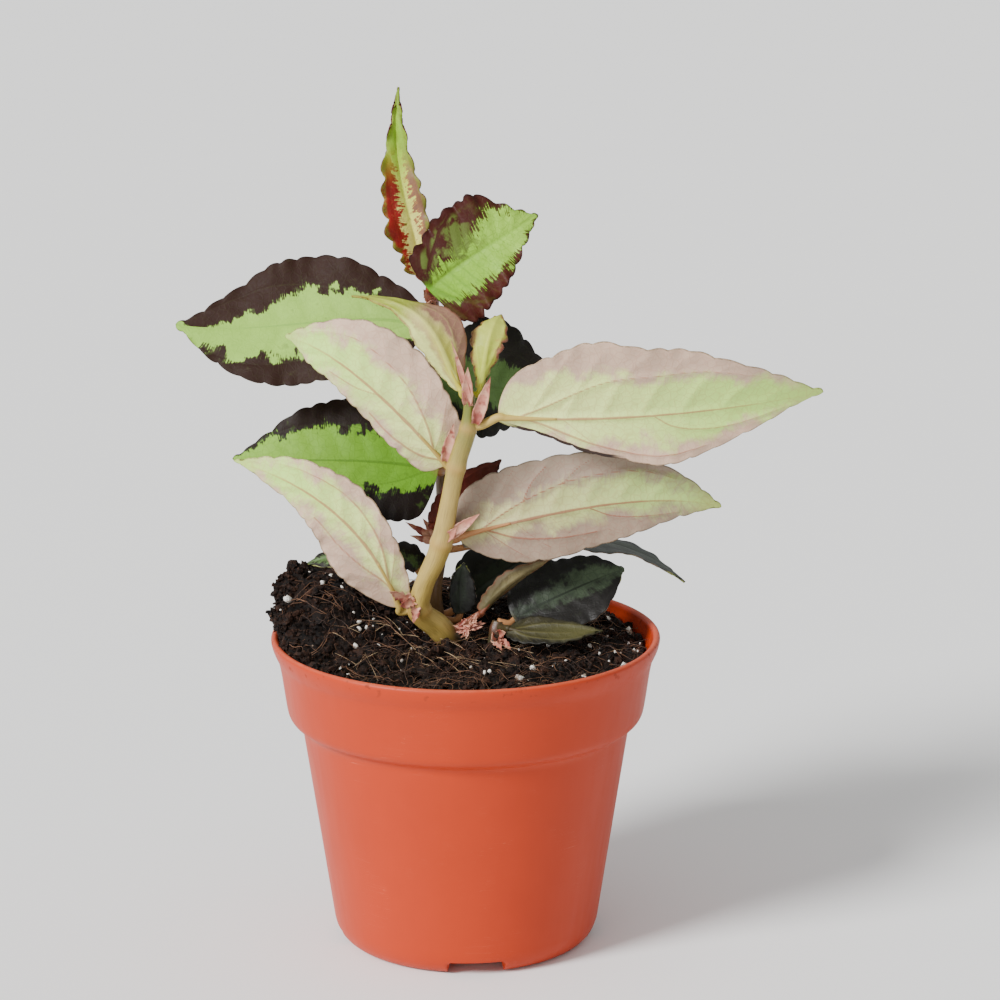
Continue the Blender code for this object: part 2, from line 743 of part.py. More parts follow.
def main():
    clear_scene()
    plant = new_collection("potted watermelon begonia")
    cutters = new_collection("cutters")
    make_pot(plant, cutters)
    make_soil(plant, cutters)
    stem_finish = material("stem", STEM_COLOUR, 0.45)
    for name, points in STEMS.items():
        make_stem(name, points, plant, stem_finish)
    finishes = {look: material(f"leaf {look}", colour, 0.5) for look, colour in LOOKS.items()}
    for name, leaf in LEAVES.items():
        make_leaf(name, leaf, plant, finishes[leaf["look"]])


main()
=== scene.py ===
# Potted trailing begonia: the looks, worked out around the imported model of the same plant.
# Lengths are in millimetres and turned into metres where a mesh is made.
# u runs along a leaf or stem from 0 at its foot to 1 at its tip, v across a leaf from -1 to 1.

import math

import bmesh
import bpy
import numpy as np
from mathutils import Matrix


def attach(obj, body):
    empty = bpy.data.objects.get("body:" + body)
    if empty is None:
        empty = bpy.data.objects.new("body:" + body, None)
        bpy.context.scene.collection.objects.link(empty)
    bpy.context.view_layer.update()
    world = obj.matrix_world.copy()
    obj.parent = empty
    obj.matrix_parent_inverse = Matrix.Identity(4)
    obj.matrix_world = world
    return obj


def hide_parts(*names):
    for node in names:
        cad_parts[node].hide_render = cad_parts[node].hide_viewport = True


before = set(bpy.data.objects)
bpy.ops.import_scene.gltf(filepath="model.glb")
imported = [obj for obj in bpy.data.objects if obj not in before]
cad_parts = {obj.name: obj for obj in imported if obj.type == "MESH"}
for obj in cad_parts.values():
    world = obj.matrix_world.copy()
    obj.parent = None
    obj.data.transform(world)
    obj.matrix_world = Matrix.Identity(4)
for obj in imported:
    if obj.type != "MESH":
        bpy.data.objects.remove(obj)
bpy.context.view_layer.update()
mm = 0.001
scene = bpy.context.scene


# Camera, light and floor

view = dict(lens=140, aim=(5.3, 0, 70), away=595, pitch=14.65)

lamps = dict(
    key=dict(kind="SUN", place=(-640, -520, 620), power=5.5, angle=18),
    fill=dict(kind="AREA", place=(-260, -760, 60), power=2.0, size=520),
    world=0.6,
)


def placeCamera():
    # the camera looks along +Y, tipped down by pitch, at the point aim from the distance away
    pitch = math.radians(view["pitch"])
    x, y, z = view["aim"]
    camera = bpy.data.objects.new("camera", bpy.data.cameras.new("camera"))
    scene.collection.objects.link(camera)
    camera.data.lens = view["lens"]
    camera.data.clip_start = 0.01
    camera.location = (
        x * mm,
        (y - view["away"] * math.cos(pitch)) * mm,
        (z + view["away"] * math.sin(pitch)) * mm,
    )
    camera.rotation_euler = (math.radians(90) - pitch, 0, 0)
    scene.camera = camera


def placeLamps():
    # a wide soft sun from the front left, a square lamp from the front and an even pale world;
    # both lamps point at the height that the camera looks at
    for name in ("key", "fill"):
        lamp = lamps[name]
        light = bpy.data.lights.new(name, lamp["kind"])
        light.energy = lamp["power"]
        if lamp["kind"] == "SUN":
            light.angle = math.radians(lamp["angle"])
        else:
            light.size = lamp["size"] * mm
        holder = bpy.data.objects.new(name, light)
        holder.location = [length * mm for length in lamp["place"]]
        away = holder.location.copy()
        away.z -= view["aim"][2] * mm
        holder.rotation_euler = away.to_track_quat("Z", "Y").to_euler()
        holder.visible_camera = False
        scene.collection.objects.link(holder)
    world = bpy.data.worlds.new("studio")
    world.use_nodes = True
    world.node_tree.nodes["Background"].inputs["Color"].default_value = (1, 1, 1, 1)
    world.node_tree.nodes["Background"].inputs["Strength"].default_value = lamps["world"]
    scene.world = world


# Shader helpers


def hue(red, green, blue):
    # a screen colour from 0 to 255 as linear light: ((c + 0.055) / 1.055) ^ 2.4
    return tuple(((c / 255 + 0.055) / 1.055) ** 2.4 for c in (red, green, blue)) + (1,)


def put(tree, kind, inputs, **settings):
    # a node with its settings, each input a value or the socket that feeds it
    made = tree.nodes.new("ShaderNode" + kind)
    for name, value in settings.items():
        setattr(made, name, value)
    for name, value in inputs.items():
        feed(tree, made, name, value)
    return made


def feed(tree, node, name, value):
    # an input set to a value, or joined to the socket that feeds it
    if isinstance(value, bpy.types.NodeSocket):
        tree.links.new(value, node.inputs[name])
    else:
        node.inputs[name].default_value = value


def sums(tree, operation, first, second=0.0):
    # first and second put together by the operation
    return put(tree, "Math", {0: first, 1: second}, operation=operation).outputs[0]


def linear(tree, value, factor, offset):
    # value x factor + offset
    return put(tree, "Math", {0: value, 1: factor, 2: offset}, operation="MULTIPLY_ADD").outputs[0]


def blended(tree, share, first, second):
    # first where share is 0, second where it is 1
    return put(tree, "Mix", {0: share, 6: first, 7: second}, data_type="RGBA").outputs[2]


def toned(tree, colour, value):
    # the colour made lighter or darker by a factor
    return put(tree, "HueSaturation", {"Value": value, "Color": colour}).outputs[0]


def mark(tree, name):
    # the number that the mesh holds at each point under the name
    return put(tree, "Attribute", {}, attribute_name=name).outputs["Fac"]


def place(tree):
    # where a point lies on the object, in metres
    return put(tree, "TexCoord", {}).outputs["Object"]


def noise(tree, where, scale, detail, roughness=0.5):
    # grey noise from 0 to 1, with scale waves to a unit of the place given
    inputs = {"Vector": where, "Scale": scale, "Detail": detail, "Roughness": roughness}
    return put(tree, "TexNoise", inputs).outputs["Fac"]


def spread(tree, where, **settings):
    # the place turned and scaled, so that a pattern on it is turned and drawn out
    return put(tree, "Mapping", {"Vector": where, **settings}).outputs[0]


def coat(tree, shader, colour, rough, relief=None, strength=0.0, depth=0.0):
    # colour and roughness of a finish, and its relief as a bump of the depth in millimetres
    feed(tree, shader, "Base Color", colour)
    feed(tree, shader, "Roughness", rough)
    if relief is not None:
        bump = put(tree, "Bump", {"Strength": strength, "Distance": depth * mm, "Height": relief})
        feed(tree, shader, "Normal", bump.outputs[0])


def newFinish(name):
    # a material, its node tree and its shader
    finish = bpy.data.materials.new(name)
    finish.use_nodes = True
    return finish, finish.node_tree, finish.node_tree.nodes["Principled BSDF"]


def newGroup(name, inputs, outputs):
    # a node group with its numbers going in and coming out
    group = bpy.data.node_groups.new(name, "ShaderNodeTree")
    for label, value in inputs.items():
        socket = group.interface.new_socket(label, in_out="INPUT", socket_type="NodeSocketFloat")
        socket.default_value = value
    for label in outputs:
        group.interface.new_socket(label, in_out="OUTPUT", socket_type="NodeSocketFloat")
    return group, group.nodes.new("NodeGroupInput"), group.nodes.new("NodeGroupOutput")


def softStepGroup():
    # Mask rises from 0 to 1 as 3t^2 - 2t^3 while Value goes from From to To
    group, given, result = newGroup("soft step", dict(Value=0.0, From=0.0, To=1.0), ["Mask"])
    ends = {0: given.outputs["Value"], 1: given.outputs["From"], 2: given.outputs["To"]}
    ramp = put(group, "MapRange", ends, interpolation_type="SMOOTHSTEP")
    feed(group, result, "Mask", ramp.outputs[0])
    return group


def mottleGroup():
    # Factor wanders about 1 by Amount, in blotches of Size millimetres on the object
    group, given, result = newGroup("mottle", dict(Size=1.0, Amount=0.1), ["Factor", "Noise"])
    scale = sums(group, "DIVIDE", 1000.0, given.outputs["Size"])
    grey = noise(group, place(group), scale, 3.0, 0.6)
    middle = sums(group, "SUBTRACT", grey, 0.5)
    swing = sums(group, "MULTIPLY", middle, given.outputs["Amount"])
    feed(group, result, "Factor", linear(group, swing, 2.0, 1.0))
    feed(group, result, "Noise", grey)
    return group


def featherGroup():
    # Shift pushes a colour boundary to and fro: cloudy patches of Size on the leaf laid flat, and
    # fine streaks that lie along the side veins, from noise of (comb, across)
    inputs = dict(FlatX=0.0, FlatY=0.0, Comb=0.0, Across=0.0, Size=2.5, Patches=1.0, Streaks=0.5)
    group, given, result = newGroup("feather", inputs, ["Shift"])
    flat = put(group, "CombineXYZ", {0: given.outputs["FlatX"], 1: given.outputs["FlatY"]}).outputs[0]
    scale = sums(group, "DIVIDE", 1.0, given.outputs["Size"])
    cloud = noise(group, flat, scale, 3.0, 0.6)
    comb = sums(group, "MULTIPLY", given.outputs["Comb"], 5.0)
    ray = put(group, "CombineXYZ", {0: comb, 1: given.outputs["Across"], 2: 3.0}).outputs[0]
    streak = noise(group, ray, 1.3, 2.0)
    total = 0.0
    for grey, label in ((cloud, "Patches"), (streak, "Streaks")):
        middle = linear(group, grey, 2.0, -1.0)
        shift = sums(group, "MULTIPLY", middle, given.outputs[label])
        total = sums(group, "ADD", shift, total)
    feed(group, result, "Shift", total)
    return group


def netGroup():
    # Lines is 1 on the borders of crooked cells of Size millimetres, the finest veins of a leaf
    group, given, result = newGroup("fine vein net", dict(FlatX=0.0, FlatY=0.0, Size=1.2), ["Lines"])
    flat = put(group, "CombineXYZ", {0: given.outputs["FlatX"], 1: given.outputs["FlatY"]}).outputs[0]
    scale = sums(group, "DIVIDE", 1.0, given.outputs["Size"])
    cells = put(group, "TexVoronoi", {"Vector": flat, "Scale": scale}, feature="DISTANCE_TO_EDGE")
    ends = {0: cells.outputs["Distance"], 1: 0.11, 2: 0.0}
    line = put(group, "MapRange", ends, interpolation_type="SMOOTHSTEP")
    feed(group, result, "Lines", line.outputs[0])
    return group


softStep = softStepGroup()
mottle = mottleGroup()
feather = featherGroup()
veinNet = netGroup()


def grouped(tree, group, **inputs):
    # one of the node groups above, and its outputs
    return put(tree, "Group", inputs, node_tree=group).outputs


def step(tree, value, start, end):
    # 0 up to start, 1 from end on, and a smooth rise between
    return grouped(tree, softStep, Value=value, From=start, To=end)["Mask"]


# Mesh helpers


def newPiece(name, points, faces, finishes, marks=None, faceFinish=None):
    # points holds x, y, z in millimetres; faces is a list of index tables, one for each corner count
    mesh = bpy.data.meshes.new(name)
    counts = np.concatenate([np.full(len(table), table.shape[1]) for table in faces])
    corners = np.concatenate([table.ravel() for table in faces])
    starts = np.concatenate([[0], np.cumsum(counts)[:-1]])
    mesh.vertices.add(len(points))
    mesh.vertices.foreach_set("co", (points * mm).ravel())
    mesh.loops.add(len(corners))
    mesh.loops.foreach_set("vertex_index", corners.astype(np.int32))
    mesh.polygons.add(len(counts))
    mesh.polygons.foreach_set("loop_start", starts.astype(np.int32))
    mesh.polygons.foreach_set("use_smooth", np.ones(len(counts), bool))
    for finish in finishes:
        mesh.materials.append(finish)
    if faceFinish is not None:
        mesh.polygons.foreach_set("material_index", faceFinish.astype(np.int32))
    mesh.update(calc_edges=True)
    for label, values in (marks or {}).items():
        layer = mesh.attributes.new(label, "FLOAT", "POINT")
        layer.data.foreach_set("value", values.astype(np.float32))
    piece = bpy.data.objects.new(name, mesh)
    scene.collection.objects.link(piece)
    return piece


def settle(piece, slot, *nodes):
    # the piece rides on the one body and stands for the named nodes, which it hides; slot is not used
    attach(piece, "root")
    if nodes:
        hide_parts(*nodes)
    return piece


def gridFaces(rows, columns, closed=False):
    # quads between neighbours of a grid of rows x columns; closed joins the last column to the first
    across = columns if closed else columns - 1
    r, c = np.meshgrid(np.arange(rows - 1), np.arange(across), indexing="ij")
    here = r * columns + c
    right = r * columns + (c + 1) % columns
    quads = np.stack([here, right, right + columns, here + columns], axis=-1)
    return quads.reshape(-1, 4)


def wrapFaces(rows, sides):
    # the quads of a stack of rings, and a flat cap over each of its two ends
    last = (rows - 1) * sides
    caps = np.array([np.arange(sides)[::-1], last + np.arange(sides)])
    return [gridFaces(rows, sides, closed=True), caps]


def sheetFaces(rows, columns):
    # two copies of a grid as the front and back of a thin sheet, and the quads round its border
    size = rows * columns
    faces = gridFaces(rows, columns)
    top = np.arange(columns)
    right = np.arange(rows) * columns + columns - 1
    bottom = (rows - 1) * columns + np.arange(columns)[::-1]
    left = np.arange(rows)[::-1] * columns
    loop = np.concatenate([top[:-1], right[:-1], bottom[:-1], left[:-1]])
    ahead = np.roll(loop, -1)
    rim = np.stack([ahead, loop, loop + size, ahead + size], axis=-1)
    return np.concatenate([faces, faces[:, ::-1] + size, rim])


def unit(vectors):
    # each vector divided by its length
    return vectors / np.maximum(np.linalg.norm(vectors, axis=-1, keepdims=True), 1e-9)


noiseTable = np.random.default_rng(11).uniform(-1, 1, 8192)


def lumps(points, size, seed=0):
    # value noise: random heights at the whole points of a lattice, blended with 3t^2 - 2t^3
    scaled = points / size
    low = np.floor(scaled).astype(np.int64)
    t = scaled - low
    t = t * t * (3 - 2 * t)
    total = 0
    for corner in range(8):
        far = np.array([corner & 1, corner >> 1 & 1, corner >> 2])
        i, j, k = np.moveaxis(low + far, -1, 0)
        key = (i * 73856093) ^ (j * 19349663) ^ (k * 83492791) ^ (seed * 2654435)
        weight = np.prod(np.where(far, t, 1 - t), axis=-1)
        total = total + noiseTable[key & 8191] * weight
    return total


def smoothPath(points, steps):
    # a Catmull-Rom curve through the points, with a number of steps between each pair
    points = np.array(points, float)
    ends = np.vstack([2 * points[0] - points[1], points, 2 * points[-1] - points[-2]])
    a, b, c, d = (ends[i : len(ends) - 3 + i, None] for i in range(4))
    t = (np.arange(steps) / steps)[None, :, None]
    path = 0.5 * (2 * b + (c - a) * t + (2 * a - 5 * b + 4 * c - d) * t**2)
    path = path + 0.5 * (3 * b - a - 3 * c + d) * t**3
    return np.vstack([path.reshape(-1, points.shape[1]), points[-1:]])


def tube(path, radius, sides, across=(0, 1, 0)):
    # rings of radius(u, angle) round the path, each square to it; the ends are closed by flat caps
    along = unit(np.gradient(path, axis=0))
    side = unit(np.cross(along, np.array(across, float)))
    over = np.cross(side, along)
    angle = np.linspace(0, 2 * math.pi, sides, endpoint=False)
    radius = np.broadcast_to(radius, (len(path), sides))[..., None]
    ring = side[:, None] * np.cos(angle)[None, :, None] + over[:, None] * np.sin(angle)[None, :, None]
    return (path[:, None] + ring * radius).reshape(-1, 3), wrapFaces(len(path), sides)


def joined(shapes):
    # several (points, faces) shapes as one, with their indices shifted
    points, tables, start = [], {}, 0
    for shape, faces in shapes:
        for table in faces:
            tables.setdefault(table.shape[1], []).append(table + start)
        points.append(shape)
        start += len(shape)
    return np.concatenate(points), [np.concatenate(tables[count]) for count in sorted(tables)]


print("camera, lamps and floor")
placeCamera()
placeLamps()

floor = dict(width=9000, colour=hue(246, 246, 245))


def floorFinish():
    # plain pale paper, hardly clouded
    finish, tree, shader = newFinish("pale paper floor")
    tone = grouped(tree, mottle, Size=60.0, Amount=0.01)["Factor"]
    coat(tree, shader, toned(tree, floor["colour"], tone), 0.7)
    return finish


half = floor["width"] / 2
corners = np.array([(-half, -half, 0), (half, -half, 0), (half, half, 0), (-half, half, 0)])
newPiece("floor", corners, [np.array([[0, 1, 2, 3]])], [floorFinish()])


# Pot

pot = dict(
    sides=216, height=48.8,
    outer=[
        (28.95, 48.55), (29.3, 48.8), (29.75, 48.75), (30, 48.4), (29.95, 47.9), (29.7, 47.0),
        (29.3, 46.1), (28.9, 45.3), (28.65, 44.2), (28.4, 42.8), (27.9, 39.2), (27.65, 37.6),
        (27.45, 36.7), (27.0, 36.0), (26.4, 35.6), (25.8, 35.2), (25.45, 34.7), (25.25, 34.0),
        (25.1, 33.0), (22.9, 18.5), (20.75, 4.2), (20.6, 3.2), (20.3, 2.2), (19.9, 1.4),
        (19.2, 0.6), (18.4, 0.15), (17.3, 0.0), (14.0, 0.0), (10.0, 0.0), (6.6, 0.0), (6.0, 0.0),
        (3.0, 0.0), (0.4, 0.0),
    ],
    inner=[
        (0.4, 2.8), (4.0, 2.8), (10.0, 2.8), (15.0, 2.8), (18.2, 2.9), (19.2, 3.4), (19.7, 4.6),
        (22.0, 20.0), (24.1, 34.6), (24.6, 35.8), (25.6, 36.7), (26.3, 37.4), (26.7, 38.6),
        (27.4, 43.0), (28.0, 45.6), (28.6, 47.3), (28.8, 48.2),
    ],
    notchCount=4, notchTurn=5, notchWidth=8.6, notchHeight=2.3, notchInner=6,
    drainRadius=2.5, drainCentre=12.5, drillLength=6, floorThick=2.8, sharpAngle=38,
)


def chaikin(points, times):
    # each round cuts every corner at a quarter and three quarters of its edges
    points = np.array(points, float)
    for _ in range(times):
        a, b = points[:-1], points[1:]
        cut = np.stack([a * 0.75 + b * 0.25, a * 0.25 + b * 0.75], axis=1).reshape(-1, 2)
        points = np.vstack([points[:1], cut, points[-1:]])
    return points


def notchAngles():
    # the middles of the foot notches, a full turn shared out from the front
    count = pot["notchCount"]
    return [math.radians(pot["notchTurn"] - 90 + 360 * number / count) for number in range(count)]


def potPoints():
    # the profile (r, z) turned about Z: x = r cos a, y = r sin a; near a notch the foot is lifted
    # to z = notchHeight, and the rim is out of round by 0.06 sin(2a + 0.7) + 0.04 sin(3a)
    inner = chaikin(pot["inner"], 2)
    profile = np.vstack([inner, chaikin(pot["outer"], 2)])
    angle = np.linspace(0, 2 * math.pi, pot["sides"], endpoint=False)
    r, z = profile[:, :1], np.repeat(profile[:, 1:], pot["sides"], axis=1)
    wobble = (0.06 * np.sin(2 * angle + 0.7) + 0.04 * np.sin(3 * angle)) * (z / pot["height"]) ** 2
    r = r + wobble * (r > 5)
    outside = np.arange(len(profile))[:, None] >= len(inner)
    for middle in notchAngles():
        turn = (angle - middle + math.pi) % (2 * math.pi) - math.pi
        reach = np.abs(r * np.sin(turn))
        inside = (np.cos(turn) > 0) & (reach < pot["notchWidth"] / 2) & (r > pot["notchInner"])
        z = np.where(inside & outside, np.maximum(z, pot["notchHeight"]), z)
    points = np.stack([r * np.cos(angle), r * np.sin(angle), z], axis=-1)
    return points.reshape(-1, 3), len(profile)


def potFinish():
    # satin moulded plastic: cloudy colour, faint upright streaks, fine pale scratches, dusty rim, and a
    # painted highlight along the top of the lip
    finish, tree, shader = newFinish("terracotta-coloured plastic")
    where = place(tree)
    tone = grouped(tree, mottle, Size=9.0, Amount=0.07)["Factor"]
    colour = toned(tree, hue(173, 53, 20), tone)
    height = put(tree, "SeparateXYZ", {0: where}).outputs["Z"]
    streaks = noise(tree, spread(tree, where, Scale=(700, 700, 12)), 1.0, 2.0)
    colour = blended(tree, sums(tree, "MULTIPLY", streaks, 0.07), colour, hue(140, 48, 32))
    scratches = None
    for turn, size in ((0.5, 24.0), (-0.35, 17.0), (1.2, 30.0)):
        line = spread(tree, where, Rotation=(0.2, turn, 0.1), Scale=(1, 1, 42))
        field = noise(tree, line, size * 4, 0.0)
        near = sums(tree, "ABSOLUTE", sums(tree, "SUBTRACT", field, 0.5))
        thin = step(tree, near, 0.0035, 0.0)
        some = noise(tree, where, size * 6, 1.0)
        part = sums(tree, "MULTIPLY", thin, step(tree, some, 0.62, 0.7))
        scratches = part if scratches is None else sums(tree, "MAXIMUM", scratches, part)
    colour = blended(tree, sums(tree, "MULTIPLY", scratches, 0.35), colour, hue(220, 130, 105))
    dust = noise(tree, where, 900.0, 3.0)
    atRim = step(tree, height, 0.0455, 0.0488)
    dusty = sums(tree, "MULTIPLY", step(tree, dust, 0.6, 0.72), atRim)
    colour = blended(tree, sums(tree, "MULTIPLY", dusty, 0.5), colour, hue(80, 42, 30))
    # painted highlight: a thin lighter band on the top of the lip, where the rounded edge catches the
    # light
    lipHighlight = sums(tree, "MULTIPLY", step(tree, height, 0.0484, 0.0488), linear(tree, streaks, 0.5, 0.1))
    colour = blended(tree, lipHighlight, colour, hue(212, 112, 84))
    rough = linear(tree, dusty, 0.3, linear(tree, streaks, 0.16, 0.36))
    fine = noise(tree, where, 2600.0, 2.0)
    relief = sums(tree, "SUBTRACT", fine, sums(tree, "MULTIPLY", scratches, 0.6))
    coat(tree, shader, colour, rough, relief, 0.1, 0.05)
    shader.inputs["Specular IOR Level"].default_value = 0.2
    return finish


def makePot():
    # the turned wall with a drain hole bored through the floor in line with each notch
    points, rows = potPoints()
    faces = [table[:, ::-1] for table in wrapFaces(rows, pot["sides"])]
    piece = newPiece("nursery_pot", points, faces, [potFinish()])
    drills = [drainDrill(f"drain_{number}", angle) for number, angle in enumerate(notchAngles())]
    for drill in drills:
        hole = piece.modifiers.new(drill.name, "BOOLEAN")
        hole.operation = "DIFFERENCE"
        hole.object = drill
    graph = bpy.context.evaluated_depsgraph_get()
    holed = bpy.data.meshes.new_from_object(piece.evaluated_get(graph))
    piece.modifiers.clear()
    piece.data = holed
    for drill in drills:
        bpy.data.objects.remove(drill, do_unlink=True)
    holed.shade_smooth()
    holed.set_sharp_from_angle(angle=math.radians(pot["sharpAngle"]))
    return settle(piece, "pot_plastic", "pot")


def drainDrill(name, angle):
    # a round bar through the floor
    bm = bmesh.new()
    radius = pot["drainRadius"] * mm
    size = dict(radius1=radius, radius2=radius, depth=pot["drillLength"] * mm)
    bmesh.ops.create_cone(bm, cap_ends=True, segments=32, **size)
    mesh = bpy.data.meshes.new(name)
    bm.to_mesh(mesh)
    bm.free()
    drill = bpy.data.objects.new(name, mesh)
    reach = pot["drainCentre"] * mm
    drill.location = (math.cos(angle) * reach, math.sin(angle) * reach, pot["floorThick"] * mm)
    scene.collection.objects.link(drill)
    return drill


print("pot")
makePot()


# Soil

soil = dict(
    top=47.5, fall=1.0, lump=0.4, edge=27.6, lean=0.5, lip=28.4,
    mounds=((-22.0, 9.0, 7.7, 7.0, 10.0), (0.0, 19.0, 2.6, 13.0, 6.0)),
    wall=[(27.4, 45.6), (26.9, 43.0), (26.2, 38.6), (25.6, 37.2), (24.3, 36.2), (23.6, 35.0),
          (19.0, 4.0), (17.8, 3.3), (9.0, 3.3), (0.4, 3.3)],
    rings=120, sectors=330,
)


def ground(x, y):
    # a level bed, a fall to the right, two bell-shaped mounds and slow sine lumps
    height = soil["top"] - soil["fall"] * np.clip((x - 8) / 18, 0, 1)
    for cx, cy, high, wideX, wideY in soil["mounds"]:
        height = height + high * np.exp(-0.5 * (((x - cx) / wideX) ** 2 + ((y - cy) / wideY) ** 2))
    slow = np.sin(x * 0.9 + 1) * np.sin(y * 0.8 + 2) + np.sin(x * 0.43 - y * 0.6)
    return height + soil["lump"] * slow


def soilBed():
    # z = ground + noise of 3.5, 1.4 and 0.6 mm; the edge leans out over the rim where it is heaped
    r = np.concatenate([[0.4], np.linspace(0.6, soil["edge"], soil["rings"] - 1)])[:, None]
    angle = np.linspace(0, 2 * math.pi, soil["sectors"], endpoint=False)[None]
    x, y = r * np.cos(angle), r * np.sin(angle)
    z = ground(x, y)
    heaped = np.clip(z - soil["top"], 0, None)
    lean = 1 + soil["lean"] * heaped / soil["edge"] * np.clip((r - 22) / 5.6, 0, 1) ** 2
    points = np.stack([x * lean, y * lean, z], axis=-1)
    rough = 0.6 * lumps(points, 3.5, 1) + 0.6 * lumps(points, 1.4, 2) + 0.35 * lumps(points, 0.6, 3)
    inner = np.clip((soil["edge"] - r) / 1.5, 0.25, 1)
    points[..., 2] += rough * inner
    points += unit(points * [1, 1, 0]) * (rough * (1 - inner) * 1.3)[..., None]
    rows = [points]
    for radius, height in soil["wall"]:
        ring = np.stack([radius * np.cos(angle[0]), radius * np.sin(angle[0])], axis=-1)
        rows.append(np.concatenate([ring, np.full((soil["sectors"], 1), height)], axis=1)[None])
    return points, np.concatenate(rows)


def peatFinish(name, dark, brown, fleck):
    # damp peat: brown-black with browner grains and a few tan flecks
    finish, tree, shader = newFinish(name)
    where = place(tree)
    coarse = noise(tree, where, 700.0, 5.0, 0.7)
    grain = noise(tree, where, 3800.0, 3.0)
    colour = blended(tree, step(tree, coarse, 0.38, 0.72), dark, brown)
    flecks = step(tree, grain, 0.63, 0.72)
    colour = blended(tree, sums(tree, "MULTIPLY", flecks, 0.55), colour, fleck)
    relief = sums(tree, "ADD", coarse, sums(tree, "MULTIPLY", grain, 0.5))
    coat(tree, shader, colour, linear(tree, coarse, 0.4, 0.5), relief, 0.8, 0.35)
    shader.inputs["Specular IOR Level"].default_value = 0.15
    return finish


def ball(fine):
    # a ball of radius 1 as tables of points and triangles: 20 of them, or 48 for a fine one. Each
    # face starts at its lowest corner, where its triangles meet, so that every run gives the same
    bm = bmesh.new()
    if fine:
        bmesh.ops.create_uvsphere(bm, u_segments=8, v_segments=4, radius=1)
    else:
        bmesh.ops.create_icosphere(bm, subdivisions=1, radius=1)
    points = np.array([vert.co[:] for vert in bm.verts])
    loops = []
    for face in bm.faces:
        loop = [vert.index for vert in face.verts]
        lowest = loop.index(min(loop))
        loops.append(loop[lowest:] + loop[:lowest])
    bm.free()
    triangles = [(loop[0], *pair) for loop in sorted(loops) for pair in zip(loop[1:], loop[2:])]
    return points, np.array(triangles)


def turns(rng, count):
    # random rotation matrices from unit quaternions
    w, x, y, z = unit(rng.normal(size=(count, 4))).T
    return np.stack([
        1 - 2 * (y * y + z * z), 2 * (x * y - w * z), 2 * (x * z + w * y),
        2 * (x * y + w * z), 1 - 2 * (x * x + z * z), 2 * (y * z - w * x),
        2 * (x * z - w * y), 2 * (y * z + w * x), 1 - 2 * (x * x + y * y),
    ], axis=-1).reshape(-1, 3, 3)


def scattered(rng, centres, sizes, stretch, jag, fine):
    # lumpy grains: each is the ball times size x (1 + jag x noise), stretched and turned at random
    points, faces = ball(fine)
    count = len(centres)
    wild = 1 + jag * rng.uniform(-1, 1, (count, len(points), 1))
    shape = points[None] * wild * (1 + stretch * rng.uniform(-1, 1, (count, 1, 3)))
    shape = np.einsum("nij,nkj->nki", turns(rng, count), shape * sizes[:, None, None])
    shape = shape + centres[:, None]
    table = faces[None] + (np.arange(count) * len(points))[:, None, None]
    return shape.reshape(-1, 3), table.reshape(-1, 3)


def onSoil(rng, bed, count, lift, rim=0.0):
    # random places on the bed, evenly by area; rim is the share kept for the heaped edge, where
    # they move outwards and slide part of the way down the outer face of the heap to the pot's lip
    rings, sectors = bed.shape[:2]
    ring = np.sqrt(rng.uniform(0, 1, count)) * (rings - 1)
    sector = rng.integers(0, sectors, count)
    edge = rng.uniform(0, 1, count) < rim
    ring = np.where(edge, rings - 1 - rng.uniform(0, 7, count), ring)
    sector = np.where(edge, (rng.normal(0.46, 0.09, count) * sectors).astype(int) % sectors, sector)
    spot = bed[ring.astype(int), sector]
    out = unit(spot * (1, 1, 0))
    lip = out * soil["lip"] + np.array([0, 0, soil["top"] + 0.4])
    fall = np.where(edge & (spot[:, 2] > soil["top"] + 1), rng.uniform(-0.5, 1, count), 0)
    spot = spot + out * (edge * rng.uniform(0, 0.9, count))[:, None]
    spot = spot + (lip - spot) * np.clip(fall, 0, 1)[:, None]
    return spot + np.reshape(lift, (-1, 1)) * (0, 0, 1)


def mostlySmall(rng, span, count, power):
    # random sizes low + (high - low) t^power, with t even from 0 to 1
    low, high = span
    return low + (high - low) * rng.uniform(0, 1, count) ** power


crumbs = dict(small=7200, large=800, smallSize=(0.1, 0.42), largeSize=(0.3, 0.82), seed=5)
perlite = dict(count=120, size=(0.1, 0.42), bigCount=9, bigSize=(0.5, 0.8), seed=9)
straws = dict(
    count=60, middle=(-3, -8, 0), spread=(10, 6, 0), reach=22, length=(2, 9), radius=(0.02, 0.042),
    sag=(0, 0, -0.5), seed=33,
)
fibres = dict(count=460, length=(2, 11), reach=28.2, radius=(0.018, 0.05), points=9, seed=21)
thread = dict(sides=5, across=(0.13, 0.21, 0.97))


def makeSoil():
    # the bed as one closed form, and its top as a grid of places for the loose grains
    bed, everything = soilBed()
    faces = [table[:, ::-1] for table in wrapFaces(*everything.shape[:2])]
    peat = peatFinish("damp peat", hue(10, 7, 6), hue(34, 22, 16), hue(84, 58, 42))
    settle(newPiece("soil_bed", everything.reshape(-1, 3), faces, [peat]), "potting_mix", "soil")
    return bed


def makeCrumbs(bed):
    # many small and some large crumbs of peat, flat-faced, sunk into the bed
    rng = np.random.default_rng(crumbs["seed"])
    shapes = []
    for kind, fine, rim in (("small", False, 0.2), ("large", True, 0.26)):
        count = crumbs[kind]
        sizes = mostlySmall(rng, crumbs[kind + "Size"], count, 2)
        centres = onSoil(rng, bed, count, sizes * 0.35, rim)
        points, faces = scattered(rng, centres, sizes, 0.55, 0.42, fine)
        shapes.append((points, [faces]))
    points, faces = joined(shapes)
    dark = peatFinish("peat crumbs", hue(12, 8, 7), hue(56, 35, 25), hue(112, 80, 58))
    piece = settle(newPiece("peat_crumbs", points, faces, [dark]), "potting_mix")
    piece.data.shade_flat()


